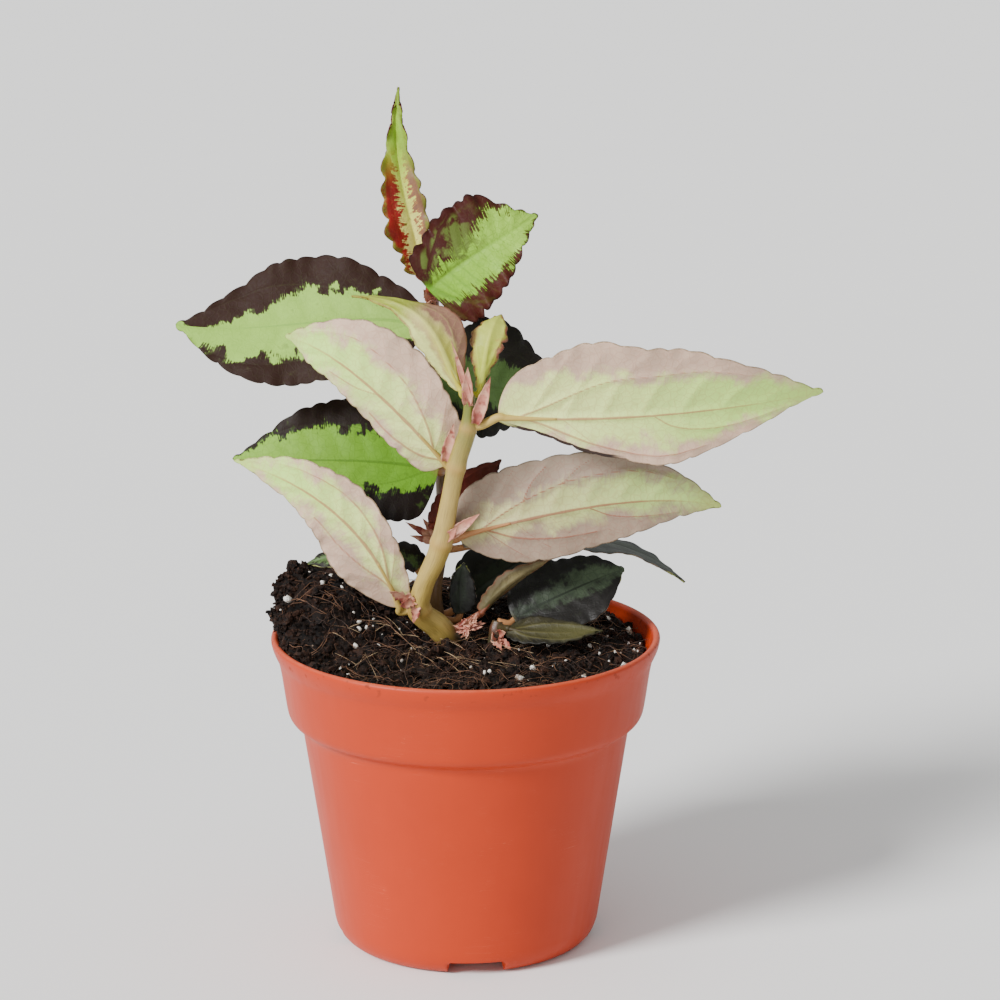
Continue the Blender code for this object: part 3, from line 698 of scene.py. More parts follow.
def perliteFinish():
    # chalky white grains with grey pits and brown stains
    finish, tree, shader = newFinish("perlite")
    where = place(tree)
    pits = put(tree, "TexVoronoi", {"Vector": where, "Scale": 4200.0}).outputs["Distance"]
    stain = noise(tree, where, 900.0, 3.0)
    colour = blended(tree, step(tree, pits, 0.1, 0.5), hue(132, 126, 118), hue(218, 214, 206))
    colour = blended(tree, step(tree, stain, 0.5, 0.66), colour, hue(128, 108, 90))
    coat(tree, shader, colour, 0.85, pits, 0.6, 0.1)
    return finish


def makePerlite(bed):
    # small and big white grains that lie on the bed
    rng = np.random.default_rng(perlite["seed"])
    shapes = []
    for number, span in (("count", "size"), ("bigCount", "bigSize")):
        count = perlite[number]
        sizes = mostlySmall(rng, perlite[span], count, 2.2)
        centres = onSoil(rng, bed, count, sizes * 0.5 + 0.15)
        points, faces = scattered(rng, centres, sizes, 0.42, 0.26, True)
        shapes.append((points, [faces]))
    points, faces = joined(shapes)
    settle(newPiece("perlite_grains", points, faces, [perliteFinish()]), "potting_mix")


def fibreFinish(name, first, second):
    # two colours that change over along the fibres
    finish, tree, shader = newFinish(name)
    cloud = grouped(tree, mottle, Size=2.4, Amount=0.3)["Noise"]
    coat(tree, shader, blended(tree, step(tree, cloud, 0.4, 0.6), first, second), 0.6)
    return finish


def makeFibres(bed):
    # each fibre is a tube round p(t) = middle + away (t - 1/2) L + side (C sin(pi t) + 0.35 sin(9 t + C))
    # at the height ground + R sin(pi t) + 0.3 |sin(5 t + C)|, for a length L, a curl C and a rise R
    rng = np.random.default_rng(fibres["seed"])
    count, steps = fibres["count"], fibres["points"]
    middle = onSoil(rng, bed, count, 0.1)
    turn = rng.uniform(0, 2 * math.pi, count)
    away = np.stack([np.cos(turn), np.sin(turn), rng.normal(0, 0.12, count)], axis=-1)
    side = np.stack([-np.sin(turn), np.cos(turn), np.zeros(count)], axis=-1)
    length = mostlySmall(rng, fibres["length"], count, 1.7)
    t = np.linspace(0, 1, steps)[None, :, None]
    curl = (length * rng.uniform(-0.28, 0.28, count))[:, None, None]
    rise = (length * rng.uniform(0.0, 0.16, count))[:, None, None]
    path = middle[:, None] + away[:, None] * (t - 0.5) * length[:, None, None]
    path = path + side[:, None] * curl * np.sin(math.pi * t) + side[:, None] * 0.35 * np.sin(9 * t + curl)
    reach = np.hypot(path[..., 0], path[..., 1])
    path[..., :2] *= np.minimum(1, fibres["reach"] / np.maximum(reach, 1e-6))[..., None]
    rest = ground(path[..., 0], path[..., 1]) + 0.25
    lift = rise * np.sin(math.pi * t) + 0.3 * np.abs(np.sin(5 * t + curl))
    path[..., 2] = rest + lift[..., 0]
    thick = rng.uniform(*fibres["radius"], count)
    shapes = []
    for line, radius in zip(path, thick):
        taper = radius * (1 - 0.5 * np.linspace(0, 1, steps)[:, None] ** 2)
        shapes.append(tube(line, taper, **thread))
    tan = fibreFinish("tan fibre", hue(122, 84, 58), hue(50, 32, 24))
    settle(newPiece("coir_fibres", *joined(shapes), [tan]), "potting_mix")


def makeStraws():
    # short stiff pale rootlets about the foot of the main stem: straight tubes, bowed a little
    rng = np.random.default_rng(straws["seed"])
    shapes = []
    for _ in range(straws["count"]):
        foot = np.array(straws["middle"]) + rng.normal(0, 1, 3) * straws["spread"]
        foot *= min(1, straws["reach"] / np.hypot(*foot[:2]))
        foot[2] = ground(foot[0], foot[1]) + rng.uniform(0.2, 1.0)
        turn, tilt = rng.uniform(0, 2 * math.pi), rng.normal(0.15, 0.25)
        level = math.cos(tilt)
        away = np.array([math.cos(turn) * level, math.sin(turn) * level, math.sin(tilt)])
        t = np.linspace(-0.5, 0.5, 7)[:, None]
        length = rng.uniform(*straws["length"])
        path = foot + away * t * length + np.array(straws["sag"]) * (2 * t) ** 2 * rng.uniform(0, 1)
        radius = rng.uniform(*straws["radius"]) * (1 - 0.5 * np.abs(2 * t))
        shapes.append(tube(path, radius, **thread))
    pale = fibreFinish("pale rootlet", hue(196, 168, 130), hue(110, 80, 54))
    settle(newPiece("rootlets", *joined(shapes), [pale]), "potting_mix")


print("soil")
bed = makeSoil()
makeCrumbs(bed)
makePerlite(bed)
makeFibres(bed)
makeStraws()


# Stems

stemSteps, stemSides = 22, 40

stemFront = dict(
    points=(
        (-2.5, -0.5, 44.0, 1.8), (-2.5, -0.5, 47.4, 1.95), (-4.2, -1.4, 50.2, 2.0),
        (-7, -3.2, 53.4, 1.75), (-6.2, -4.6, 58, 1.5), (-3.8, -6, 64, 1.6),
        (-2.3, -7, 71.8, 1.35), (-1.1, -7.9, 78, 1.4), (0.4, -9, 83.0, 1.3), (0.6, -9.4, 85.4, 0.95),
        (0.8, -9.6, 88.8, 0.8),
    ),
    joints=((53.6, 0.22), (64.9, 0.2), (77.2, 0.16), (83.8, 0.14)),
)
stemBack = dict(
    points=(
        (-4.5, 5.5, 44.0, 1.4), (-4.5, 5.5, 48, 1.4), (-5, 5.2, 54, 1.3), (-4, 6.2, 61, 1.3),
        (-3.4, 7.2, 67, 1.2), (-3.6, 8, 74, 1.2), (-4.3, 8, 86, 1.2), (-5, 6.5, 97, 1.1),
        (-4.9, 5.4, 103.4, 0.85),
    ),
    joints=((60.9, 0.2), (73.2, 0.18), (85.8, 0.16), (96.8, 0.15)),
)
stemLow = dict(
    points=(
        (4.4, -3.2, 44.0, 1.0), (4.4, -3.2, 47, 1.05), (4.7, -2.8, 49.4, 1.1), (5.0, -2.4, 51.4, 0.85),
    ),
    joints=((50.4, 0.15),),
)


def stemFinish(name, low, middle, high, joint):
    # fleshy skin: three colours up the stem, darker cloudy grain, and joints in a colour of their own
    finish, tree, shader = newFinish(name)
    along = mark(tree, "along")
    colour = blended(tree, step(tree, along, 0.11, 0.21), low, middle)
    colour = blended(tree, step(tree, along, 0.55, 0.95), colour, high)
    skin = put(tree, "CombineXYZ", {0: mark(tree, "roundX"), 1: mark(tree, "roundY"), 2: along})
    grain = noise(tree, spread(tree, skin.outputs[0], Scale=(5, 5, 9)), 2.6, 3.0)
    colour = blended(tree, sums(tree, "MULTIPLY", step(tree, grain, 0.45, 0.75), 0.35), colour, low)
    colour = toned(tree, colour, grouped(tree, mottle, Size=1.8, Amount=0.12)["Factor"])
    colour = blended(tree, sums(tree, "MULTIPLY", mark(tree, "joint"), 0.6), colour, joint)
    coat(tree, shader, colour, 0.42, grain, 0.35, 0.12)
    shader.inputs["Subsurface Weight"].default_value = 0.12
    shader.inputs["Subsurface Radius"].default_value = (0.0012, 0.0009, 0.0004)
    return finish


def stemShape(stem):
    # a tube round the smoothed path; at each joint the radius swells by rise exp(-(dz / 0.9)^2)
    path = smoothPath(stem["points"], stemSteps)
    radius = path[:, 3:4]
    joint = np.zeros(len(path))
    for height, rise in stem["joints"]:
        bell = np.exp(-(((path[:, 2] - height) / 0.9) ** 2))
        radius = radius + rise * bell[:, None]
        joint = np.maximum(joint, bell)
    angle = np.linspace(0, 2 * math.pi, stemSides, endpoint=False)[None]
    u = np.linspace(0, 1, len(path))[:, None]
    radius = radius * (1 + 0.018 * np.sin(3 * angle + 5 * u) + 0.012 * np.sin(5 * angle - 9 * u))
    marks = dict(
        along=np.repeat(u[:, 0], stemSides), joint=np.repeat(joint, stemSides),
        roundX=np.tile(np.cos(angle[0]), len(path)), roundY=np.tile(np.sin(angle[0]), len(path)),
    )
    return *tube(path[:, :3], radius, stemSides), marks


# Each bract: foot, tip, width, how far it curls outwards and how torn its margin is
bractsFront = (
    ((-2.6, -6.9, 66.0), (2.3, -7.7, 69.9), 1.7, 0.5, 0.1),
    ((-2.9, -7.4, 65.6), (-1.2, -8.4, 68.0), 1.3, 0.3, 0.2),
    ((-2.9, -8.0, 78.2), (-1.6, -8.9, 84.2), 1.7, 0.4, 0.1),
    ((-3.0, -7.6, 78.0), (-2.8, -8.3, 81.6), 1.2, 0.3, 0.2),
    ((1.6, -10.1, 84.4), (3.9, -10.7, 91.8), 1.9, 0.5, 0.1),
    ((0.4, -10.3, 87.4), (0.5, -11.4, 93.4), 1.7, 0.3, 0.1),
    ((1.0, -10.4, 87.2), (-1.9, -11.6, 97.4), 1.0, 0.2, 0.1),
    ((-8.0, -5.0, 55.0), (-11.6, -6.8, 57.4), 1.8, 0.6, 0.5),
    ((-7.6, -5.0, 55.4), (-10.0, -6.8, 55.0), 1.5, 0.5, 0.5),
    ((-7.4, -5.0, 54.8), (-7.9, -7.0, 52.4), 1.3, 0.4, 0.6),
)
bractsBack = (
    ((-5.0, 5.0, 100.0), (-6.3, 3.0, 102.2), 1.6, 0.3, 0.2),
    ((-5.0, 5.0, 99.6), (-5.2, 2.8, 100.6), 1.5, 0.3, 0.3),
    ((-4.4, 5.4, 62.2), (-9.3, 2.8, 65.8), 1.2, 0.6, 0.2),
    ((-4.2, 5.4, 61.8), (-8.6, 2.8, 63.6), 1.2, 0.5, 0.3),
    ((-4.4, 5.2, 62.6), (-6.6, 2.6, 66.4), 1.2, 0.4, 0.2),
)
bractsLow = (
    ((4.5, -3.4, 49.0), (5.6, -6.4, 47.9), 1.3, 0.4, 0.5),
    ((4.6, -3.2, 49.4), (4.0, -6.2, 49.6), 1.2, 0.4, 0.5),
    ((4.8, -3.2, 49.6), (6.2, -6.4, 50.8), 1.2, 0.4, 0.4),
    ((5.0, -3.4, 49.0), (7.2, -6.2, 47.9), 1.1, 0.3, 0.5),
)
torn = dict(count=22, middle=(0.4, -2.6, 50.8), spread=(0.8, 0.6, 1.0), size=(1.0, 2.2), seed=4)


def bractShape(foot, tip, width, curl, ragged, seed):
    # a papery leaflet p(s, t) = foot + (tip - foot) t + across w s + out (curl (t^2 - t / 2) + cup s^2),
    # with w = width / 2 (sin(pi (0.12 + 0.88 t)^0.75) + 0.02) and a margin torn by noise
    rows, columns, thick = 15, 9, 0.07
    foot, tip = np.array(foot, float), np.array(tip, float)
    t = np.linspace(0, 1, rows)[:, None, None]
    s = np.linspace(-1, 1, columns)[None, :, None]
    along = unit(tip - foot)
    out = np.array((0, -1, 0.15))
    out = unit(out - along * (out @ along))
    across = np.cross(along, out)
    swell = np.sin(math.pi * (0.12 + 0.88 * t) ** 0.75) + 0.02
    spots = np.stack([s + 0 * t, 5 * t + 0 * s, 0 * (s + t) + seed * 7.3], -1)[..., 0, :]
    tear = 1 + ragged * lumps(spots, 0.35, seed)[..., None]
    reach = width / 2 * swell * np.where(np.abs(s) > 0.6, tear, 1)
    middle = foot + (tip - foot) * t + out * curl * (t**2 - t / 2)
    sheet = middle + across * reach * s + out * (0.35 * width * s**2 * (1 - t) - 0.15)
    front, back = sheet + out * thick, sheet - out * thick
    points = np.concatenate([front.reshape(-1, 3), back.reshape(-1, 3)])
    u = np.broadcast_to(t[..., 0], (rows, columns)).ravel()
    return points, [sheetFaces(rows, columns)], np.tile(u, 2)


def bractFinish():
    # thin papery skin: pink with pale streaks, browner at the torn tip
    finish, tree, shader = newFinish("pink bract")
    along = mark(tree, "along")
    cloud = grouped(tree, mottle, Size=1.6, Amount=0.3)["Noise"]
    colour = blended(tree, step(tree, cloud, 0.4, 0.62), hue(178, 112, 94), hue(196, 146, 120))
    dry = grouped(tree, mottle, Size=2.5, Amount=0.3)["Noise"]
    colour = blended(tree, step(tree, dry, 0.5, 0.62), colour, hue(134, 62, 50))
    brown = sums(tree, "MULTIPLY", step(tree, along, 0.7, 1.0), 0.35)
    colour = blended(tree, brown, colour, hue(120, 66, 44))
    coat(tree, shader, colour, 0.5, cloud, 0.5, 0.1)
    return finish


def tornBits():
    # little torn ribbons about a joint, from seeded random feet and directions
    rng = np.random.default_rng(torn["seed"])
    count = torn["count"]
    feet = np.array(torn["middle"]) + rng.normal(0, 1, (count, 3)) * torn["spread"] * 0.6
    away = unit(rng.normal(0, 1, (count, 3)) * (1, 0.5, 0.8) + (0.5, -0.5, 0.1))
    length = rng.uniform(*torn["size"], count)
    tips = feet + away * length[:, None]
    return [(foot, tip, size * 0.28, 0.4, 0.8) for foot, tip, size in zip(feet, tips, length)]


def makeStem(name, node, stem, finish, bracts):
    # the stem in its own finish and all its bracts in pink, as one mesh
    points, faces, marks = stemShape(stem)
    shapes, along = [(points, faces)], [marks["along"]]
    for number, bract in enumerate(bracts):
        *shape, u = bractShape(*bract, number)
        shapes.append(shape)
        along.append(u)
    allPoints, allFaces = joined(shapes)
    extra = len(allPoints) - len(points)
    for label in ("joint", "roundX", "roundY"):
        marks[label] = np.concatenate([marks[label], np.zeros(extra)])
    marks["along"] = np.concatenate(along)
    kind = np.concatenate([(table.min(axis=1) >= len(points)).astype(int) for table in allFaces])
    piece = newPiece(name, allPoints, allFaces, [finish, pinkBract], marks, kind)
    return settle(piece, "stem", node)


print("stems")
pinkBract = bractFinish()
# the main stem's dark foot colour is partly its own brown-olive and partly painted shade, where soil and
# bracts shade the stub
greenStem = stemFinish(
    "main stem skin", hue(76, 57, 24), hue(172, 147, 76), hue(104, 110, 36), joint=hue(170, 134, 66)
)
redStem = stemFinish(
    "rear stem skin", hue(96, 66, 38), hue(104, 76, 42), hue(112, 52, 36), joint=hue(104, 44, 34)
)
darkStem = stemFinish(
    "low stem skin", hue(50, 42, 25), hue(54, 48, 27), hue(68, 58, 30), joint=hue(90, 42, 32)
)
makeStem("main_stem", "stem_front", stemFront, greenStem, list(bractsFront) + tornBits())
makeStem("rear_stem", "stem_back", stemBack, redStem, bractsBack)
makeStem("low_stem", "stem_low", stemLow, darkStem, bractsLow)
stemPaths = {
    name: smoothPath(stem["points"], stemSteps)
    for name, stem in (("front", stemFront), ("back", stemBack), ("low", stemLow))
}


# Leaves: shape

# cell is the distance between neighbouring points of a blade
blade = dict(cell=0.28, half=0.19, margin=0.08, petiole=0.7, rounding=0.07, keel=0.34, blunt=0.035)


def curveThrough(points, u):
    # the cubic through four points at u = 0, 1/3, 2/3 and 1, and its slope
    powers = np.vander(np.linspace(0, 1, 4), 4)
    cubic = np.linalg.solve(powers, np.array(points, float))
    slope = np.array([[3, 2, 1]]).T * cubic[:3]
    return np.vander(u, 4) @ cubic, np.vander(u, 3) @ slope


def halfWidth(widths, u):
    # Hermite curve through six widths and 0 at the tip; sqrt(1 - (1 - u / rounding)^2) rounds the
    # base, and the last stretch, blunt, is a quarter ellipse
    marks = np.append(np.array(widths, float), 0.0)
    steps = len(marks) - 1
    slopes = np.gradient(marks)
    left = np.minimum((u * steps).astype(int), steps - 1)
    t = u * steps - left
    body = (
        (1 + 2 * t) * (1 - t) ** 2 * marks[left]
        + t * (1 - t) ** 2 * slopes[left]
        + t**2 * (3 - 2 * t) * marks[left + 1]
        + t**2 * (t - 1) * slopes[left + 1]
    )
    corner = np.sqrt(1 - (1 - np.minimum(u / blade["rounding"], 1)) ** 2)
    end = (1 - u) / blade["blunt"]
    bow = np.sqrt(np.clip(1 - (end - 1) ** 2, 0, 1)) * (end < 1)
    tip = 0.9 * marks[-2] * steps * blade["blunt"] * bow
    return np.maximum(np.maximum(blade["petiole"] + (body - blade["petiole"]) * corner, tip), 0.1)


def leafFrame(leaf, u):
    # midrib point, the way to the side and the way the upper side faces: side = along x up
    points, slope = curveThrough(leaf["rib"], u)
    along = unit(slope)
    base, tip = np.array(leaf["face"], float)
    face = np.outer(1 - u, base) + np.outer(u, tip)
    up = unit(face - (face * along).sum(1, keepdims=True) * along)
    return points, np.cross(along, up), up


def lineGap(px, py, line):
    # distance from each point (px, py) to the nearest stretch of a polyline
    gap = np.full(px.shape, 99.0)
    for (ax, ay), (bx, by) in zip(line[:-1], line[1:]):
        dx, dy = bx - ax, by - ay
        t = np.clip(((px - ax) * dx + (py - ay) * dy) / max(dx * dx + dy * dy, 1e-9), 0, 1)
        gap = np.minimum(gap, np.hypot(px - ax - t * dx, py - ay - t * dy))
    return gap


def veinGaps(leaf, u, v, plus, minus, length):
    # the leaf laid flat: x = u length, y = v half width; gap to the nerves and to the side branches
    flatX = u * length
    flatY = np.where(v > 0, plus, minus) * v
    nerve = np.full(flatX.shape, 99.0)
    branch = np.full(flatX.shape, 99.0)
    for line in leaf["nerves"]:
        path = smoothPath(line, 8)
        nerve = np.minimum(nerve, lineGap(flatX, flatY, flatLine(leaf, path, length)))
    gap = leaf["branchStep"]
    for side in (-1, 1):
        for start in np.arange(0.1, 0.86, gap):
            line = np.array(((0, 0), (0.035, 0.3), (0.085, 0.62), (0.15, 0.93))) * (1, side)
            path = smoothPath(line + (start + 0.04 * side * gap, 0), 4)
            path[:, 0] = np.minimum(path[:, 0], 0.99)
            branch = np.minimum(branch, lineGap(flatX, flatY, flatLine(leaf, path, length)))
    return nerve, branch


def flatLine(leaf, path, length):
    # a line of (u, v) points in millimetres on the leaf laid flat
    u, v = path[:, 0], path[:, 1]
    wide = np.where(v > 0, halfWidth(leaf["plus"], u), halfWidth(leaf["minus"], u))
    return np.stack([u * length, v * wide], axis=-1)


def leafShape(leaf):
    # blade(u, v) = rib(u) + side reach + up (fold reach + wave + crinkle + quilt), where
    # reach = |v| width(u) - tooth |v|^6
    track = curveThrough(leaf["rib"], np.linspace(0, 1, 60))[0]
    flatLength = np.linalg.norm(np.diff(track, axis=0), axis=1).sum()
    rows = int(flatLength / blade["cell"] * 1.25)
    columns = int((max(leaf["plus"]) + max(leaf["minus"])) / blade["cell"]) // 2 * 2 + 9
    s = np.linspace(0, 1, rows)
    along = s - 0.5 * np.sin(2 * math.pi * s) / (2 * math.pi)
    rib, side, up = leafFrame(leaf, along)
    plus, minus = halfWidth(leaf["plus"], along)[:, None], halfWidth(leaf["minus"], along)[:, None]
    u, v = np.broadcast_arrays(along[:, None], np.linspace(-1, 1, columns)[None])
    width = np.where(v > 0, plus, minus)
    phase = leaf["teeth"] * (u + 0.012 * np.sin(17 * u + 3 * np.sign(v)) - 0.01)
    notch = 1 - np.abs(np.cos(math.pi * phase)) ** 0.7
    size = 1 + 0.35 * np.sin(2.7 * phase + 1.3 * np.sign(v))
    ends = np.clip(u / 0.1, 0, 1) * np.clip((1 - u) / 0.06, 0, 1)
    tooth = leaf["bite"] * 1.15 * notch * size * ends
    reach = np.maximum(width * np.abs(v) - tooth * np.abs(v) ** 6, 0)
    high, count = leaf["wave"]
    wave = high * v**2 * np.sin(2 * math.pi * count * u + v) * np.sin(math.pi * u)
    crinkle = leaf["crinkle"] * np.abs(v) ** 5 * np.sin(2 * math.pi * phase + 0.8) * ends
    nerve, branch = veinGaps(leaf, u, v, plus, minus, flatLength)
    quilt = leaf["quilt"] * (1 - np.exp(-((np.minimum(branch, nerve) / 0.9) ** 2)))
    quilt = quilt * (1 - np.abs(v) ** 3) * np.clip(reach / 1.2, 0, 1) * ends
    rise = leaf["fold"] * reach + wave + crinkle + quilt
    sheet = rib[:, None] + side[:, None] * (np.sign(v) * reach)[..., None] + up[:, None] * rise[..., None]
    normal = unit(np.cross(np.gradient(sheet, axis=0), np.gradient(sheet, axis=1)))
    normal = normal * np.sign((normal * up[:, None]).sum(-1, keepdims=True))
    half = blade["margin"] + (blade["half"] - blade["margin"]) * (1 - np.abs(v) ** 4)
    ridge = blade["keel"] * (1 - u) * np.exp(-((reach / 0.5) ** 2))
    ridge = ridge + 0.1 * np.exp(-((nerve / 0.28) ** 2)) * ends
    ridge = ridge + 0.04 * np.exp(-((branch / 0.25) ** 2)) * ends
    groove = 0.08 * np.exp(-((reach / 0.35) ** 2)) + 0.05 * np.exp(-((nerve / 0.3) ** 2))
    upper = sheet + normal * (half - groove * ends)[..., None]
    lower = sheet - normal * (half + ridge)[..., None]
    return upper, lower, leafMarks(leaf, u, v, reach, width, nerve, branch, phase, flatLength)


def leafMarks(leaf, u, v, reach, width, nerve, branch, phase, length):
    # what the finishes read: gaps in millimetres to the margin and the green centre, and the gaps
    # to the veins in their own half widths, which shrink towards the tip
    thin = 1.1 - 0.85 * u
    along = np.clip(u, 0, 1)
    greenPlus = np.interp(along, (0, 0.5, 1), leaf["green"][0])
    greenMinus = np.interp(along, (0, 0.5, 1), leaf["green"][1])
    share = np.where(v > 0, greenPlus, greenMinus)
    edge = np.minimum((1 - np.abs(v)) * width, (1 - u) * length)
    rolled = np.zeros(u.shape)
    for left, right, side, wide in leaf["rolled"]:
        ends = np.clip((u - left) / 0.05, 0, 1) * np.clip((right - u) / 0.05, 0, 1)
        rolled = np.maximum(rolled, ends * (edge < wide) * (v * side > 0))
    return dict(
        along=u, across=v, edgeGap=edge, greenGap=share * width - reach,
        flatX=u * length, flatY=reach * np.sign(v),
        rib=reach / (0.3 * thin), nerve=nerve / (0.2 * thin), branch=branch / (0.11 * thin),
        comb=phase * 2 - 1.1 * np.abs(v), rolled=rolled,
        stalk=np.clip(1 - u / 0.05, 0, 1) * np.exp(-((reach / 0.8) ** 2)),
    )


def stalkShape(leaf, sides=14):
    # a tube from inside the stem over the stalk's start to the blade, then tapering along the midrib
    path = stemPaths[leaf["stem"]]
    start = np.array(leaf["stalk"], float)
    near = path[np.argmin(((path[:, :3] - start) ** 2).sum(1)), :3]
    u = np.array([0.0, 0.03, 0.07, 0.13, 0.2])
    rib, _, up = leafFrame(leaf, u)
    radii = np.array([0.85, 0.7, 0.6, 0.5, 0.4, 0.3, 0.2])[:, None] * leaf["stout"]
    rib = rib - up * (blade["half"] + radii[2:] * 0.55)
    smooth = smoothPath(np.hstack([np.vstack([near, start, rib]), radii]), 7)
    return tube(smooth[:, :3], smooth[:, 3:4], sides, across=up[0])


print("leaf finishes")

# What a finish has unless it says otherwise: colours, and the reach of its patterns in millimetres
plainLook = dict(
    rim=None, rimWide=0.7, tip=None, tipSpan=(0.84, 0.98), net=0.12, netSize=1.1, webbed=0,
    flankVeins=0.1, veinWide=1.0, edgeWide=0.12, edgeShow=0.6, soft=0.8, cloud=2.5, patches=1.2,
    streaks=0.4, mottleAmount=0.12, rolled=hue(50, 36, 30), rough=0.5, specks=0.0, shine=0.25,
)


def leafFinish(name, **changes):
    # flank and centre colours meet where greenGap + feather crosses 0, with a rim colour between;
    # then specks, veins, the fine net, the margin line, rolled edge and stalk colour are laid over.
    # webbed gives one side, 1 or -1, veins in the colour web with green islands between them
    look = {**plainLook, **changes}
    finish, tree, shader = newFinish(name)
    along, across = mark(tree, "along"), mark(tree, "across")
    flat = dict(FlatX=mark(tree, "flatX"), FlatY=mark(tree, "flatY"))
    flank = blended(tree, step(tree, across, -0.04, 0.04), *look["flanks"])
    centre = blended(tree, step(tree, along, 0.15, 0.85), *look["centre"])
    shift = grouped(
        tree, feather, Comb=mark(tree, "comb"), Across=across, Size=look["cloud"],
        Patches=look["patches"], Streaks=look["streaks"], **flat,
    )["Shift"]
    gap = sums(tree, "ADD", mark(tree, "greenGap"), shift)
    colour = flank
    if look["rim"]:
        colour = blended(tree, step(tree, gap, -look["rimWide"], 0), colour, look["rim"])
    green = step(tree, gap, -look["soft"] / 2, look["soft"] / 2)
    colour = blended(tree, green, colour, centre)
    if look["tip"]:
        colour = blended(tree, step(tree, along, *look["tipSpan"]), colour, look["tip"])
    coarse = grouped(tree, mottle, Size=2.6, Amount=look["mottleAmount"])
    fine = grouped(tree, mottle, Size=0.45, Amount=look["mottleAmount"] * 0.7)
    colour = toned(tree, colour, sums(tree, "MULTIPLY", coarse["Factor"], fine["Factor"]))
    if look["specks"]:
        speck = sums(tree, "MULTIPLY", step(tree, coarse["Noise"], 0.62, 0.72), look["specks"])
        colour = blended(tree, speck, colour, look["speckColour"])
    veinColour = look["vein"]
    lines = None
    for label, show in zip(("rib", "nerve", "branch"), look["veinShow"]):
        near = sums(tree, "DIVIDE", mark(tree, label), look["veinWide"])
        line = sums(tree, "MULTIPLY", step(tree, near, 1.3, 0.5), show)
        lines = line if lines is None else sums(tree, "MAXIMUM", lines, line)
    lines = sums(tree, "MULTIPLY", lines, step(tree, along, 1.0, 0.6))
    if look["webbed"]:
        side = step(tree, across, -0.08 * look["webbed"], 0.1 * look["webbed"])
        web = sums(tree, "MULTIPLY", step(tree, along, 0.66, 0.4), side)
        veinColour = blended(tree, web, look["vein"], look["web"])
        inside = sums(tree, "MULTIPLY", web, step(tree, mark(tree, "edgeGap"), 0.9, 2.0))
        patch = step(tree, coarse["Noise"], 0.44, 0.56)
        island = sums(tree, "MULTIPLY", sums(tree, "MULTIPLY", inside, patch), look["islands"])
        island = sums(tree, "MULTIPLY", island, linear(tree, lines, -1.2, 1.0))
        colour = blended(tree, island, colour, look["speckColour"])
    net = grouped(tree, veinNet, Size=look["netSize"], **flat)["Lines"]
    net = sums(tree, "MULTIPLY", net, step(tree, mark(tree, "edgeGap"), 0.0, 0.8))
    shown = linear(tree, green, 1 - look["flankVeins"], look["flankVeins"])
    netShare = sums(tree, "MULTIPLY", sums(tree, "MULTIPLY", net, look["net"]), shown)
    colour = blended(tree, netShare, colour, veinColour)
    colour = blended(tree, sums(tree, "MULTIPLY", lines, shown), colour, veinColour)
    margin = step(tree, mark(tree, "edgeGap"), look["edgeWide"] * 2.2, look["edgeWide"] * 0.8)
    patchy = linear(tree, step(tree, fine["Noise"], 0.4, 0.6), 0.6, 0.4)
    margin = sums(tree, "MULTIPLY", sums(tree, "MULTIPLY", margin, patchy), look["edgeShow"])
    colour = blended(tree, margin, colour, look["edge"])
    colour = blended(tree, mark(tree, "rolled"), colour, look["rolled"])
    colour = blended(tree, mark(tree, "stalk"), colour, look["stalk"])
    relief = linear(tree, lines, 0.8, linear(tree, net, 0.35, fine["Noise"]))
    coat(tree, shader, colour, linear(tree, fine["Noise"], 0.3, look["rough"] - 0.15), relief, 0.3, 0.14)
    shader.inputs["Specular IOR Level"].default_value = look["shine"]
    return finish


paleUnder = leafFinish(
    "pale lilac underside",
    flanks=(hue(198, 168, 145), hue(195, 166, 144)), centre=(hue(214, 226, 142), hue(184, 222, 110)),
    tip=hue(178, 206, 104), vein=hue(164, 104, 78), veinShow=(0.75, 0.65, 0.3), flankVeins=1.0,
    edge=hue(104, 86, 50), edgeShow=0.7, soft=3.2, cloud=5.0, patches=5.0, streaks=1.0,
    mottleAmount=0.11, stalk=hue(176, 150, 80), net=0.16, veinWide=0.9,
)
# painted shade: the pale lilac underside again in darker tones, for undersides that lie in the shade of
# the leaves above them
shadedLilacUnder = leafFinish(
    "lilac underside darkened by painted shade",
    flanks=(hue(142, 122, 104), hue(142, 124, 107)), centre=(hue(176, 172, 118), hue(162, 186, 104)),
    tip=hue(160, 174, 92), vein=hue(134, 78, 60), veinShow=(0.8, 0.75, 0.5), flankVeins=1.0,
    edge=hue(80, 64, 42), edgeShow=0.7, soft=3.0, cloud=5.0, patches=4.0, streaks=1.0,
    mottleAmount=0.13, stalk=hue(168, 118, 76), net=0.18, veinWide=0.8,
)
greenCentred = leafFinish(
    "brown-purple upper side with a green centre",
    flanks=(hue(40, 24, 18), hue(42, 25, 19)), centre=(hue(148, 186, 82), hue(136, 176, 72)),
    rim=hue(62, 70, 36), vein=hue(112, 150, 62), veinShow=(0.5, 0.25, 0.12), edge=hue(20, 13, 11),
    soft=0.4, cloud=3.4, patches=4.6, streaks=1.3, mottleAmount=0.14, stalk=hue(128, 124, 60),
    rough=0.58, specks=0.3, speckColour=hue(64, 62, 40), net=0.1, shine=0.1,
)
vividCentred = leafFinish(
    "near-black upper side with a vivid green centre",
    flanks=(hue(22, 14, 12), hue(30, 19, 15)), centre=(hue(92, 138, 32), hue(118, 158, 54)),
    rim=hue(44, 60, 22), vein=hue(64, 98, 24), veinShow=(0.6, 0.4, 0.2), edge=hue(16, 11, 10),
    soft=0.4, cloud=3.2, patches=4.0, streaks=1.3, mottleAmount=0.18, stalk=hue(128, 124, 60),
    rough=0.55, specks=0.35, speckColour=hue(66, 92, 34), net=0.14, shine=0.12,
)
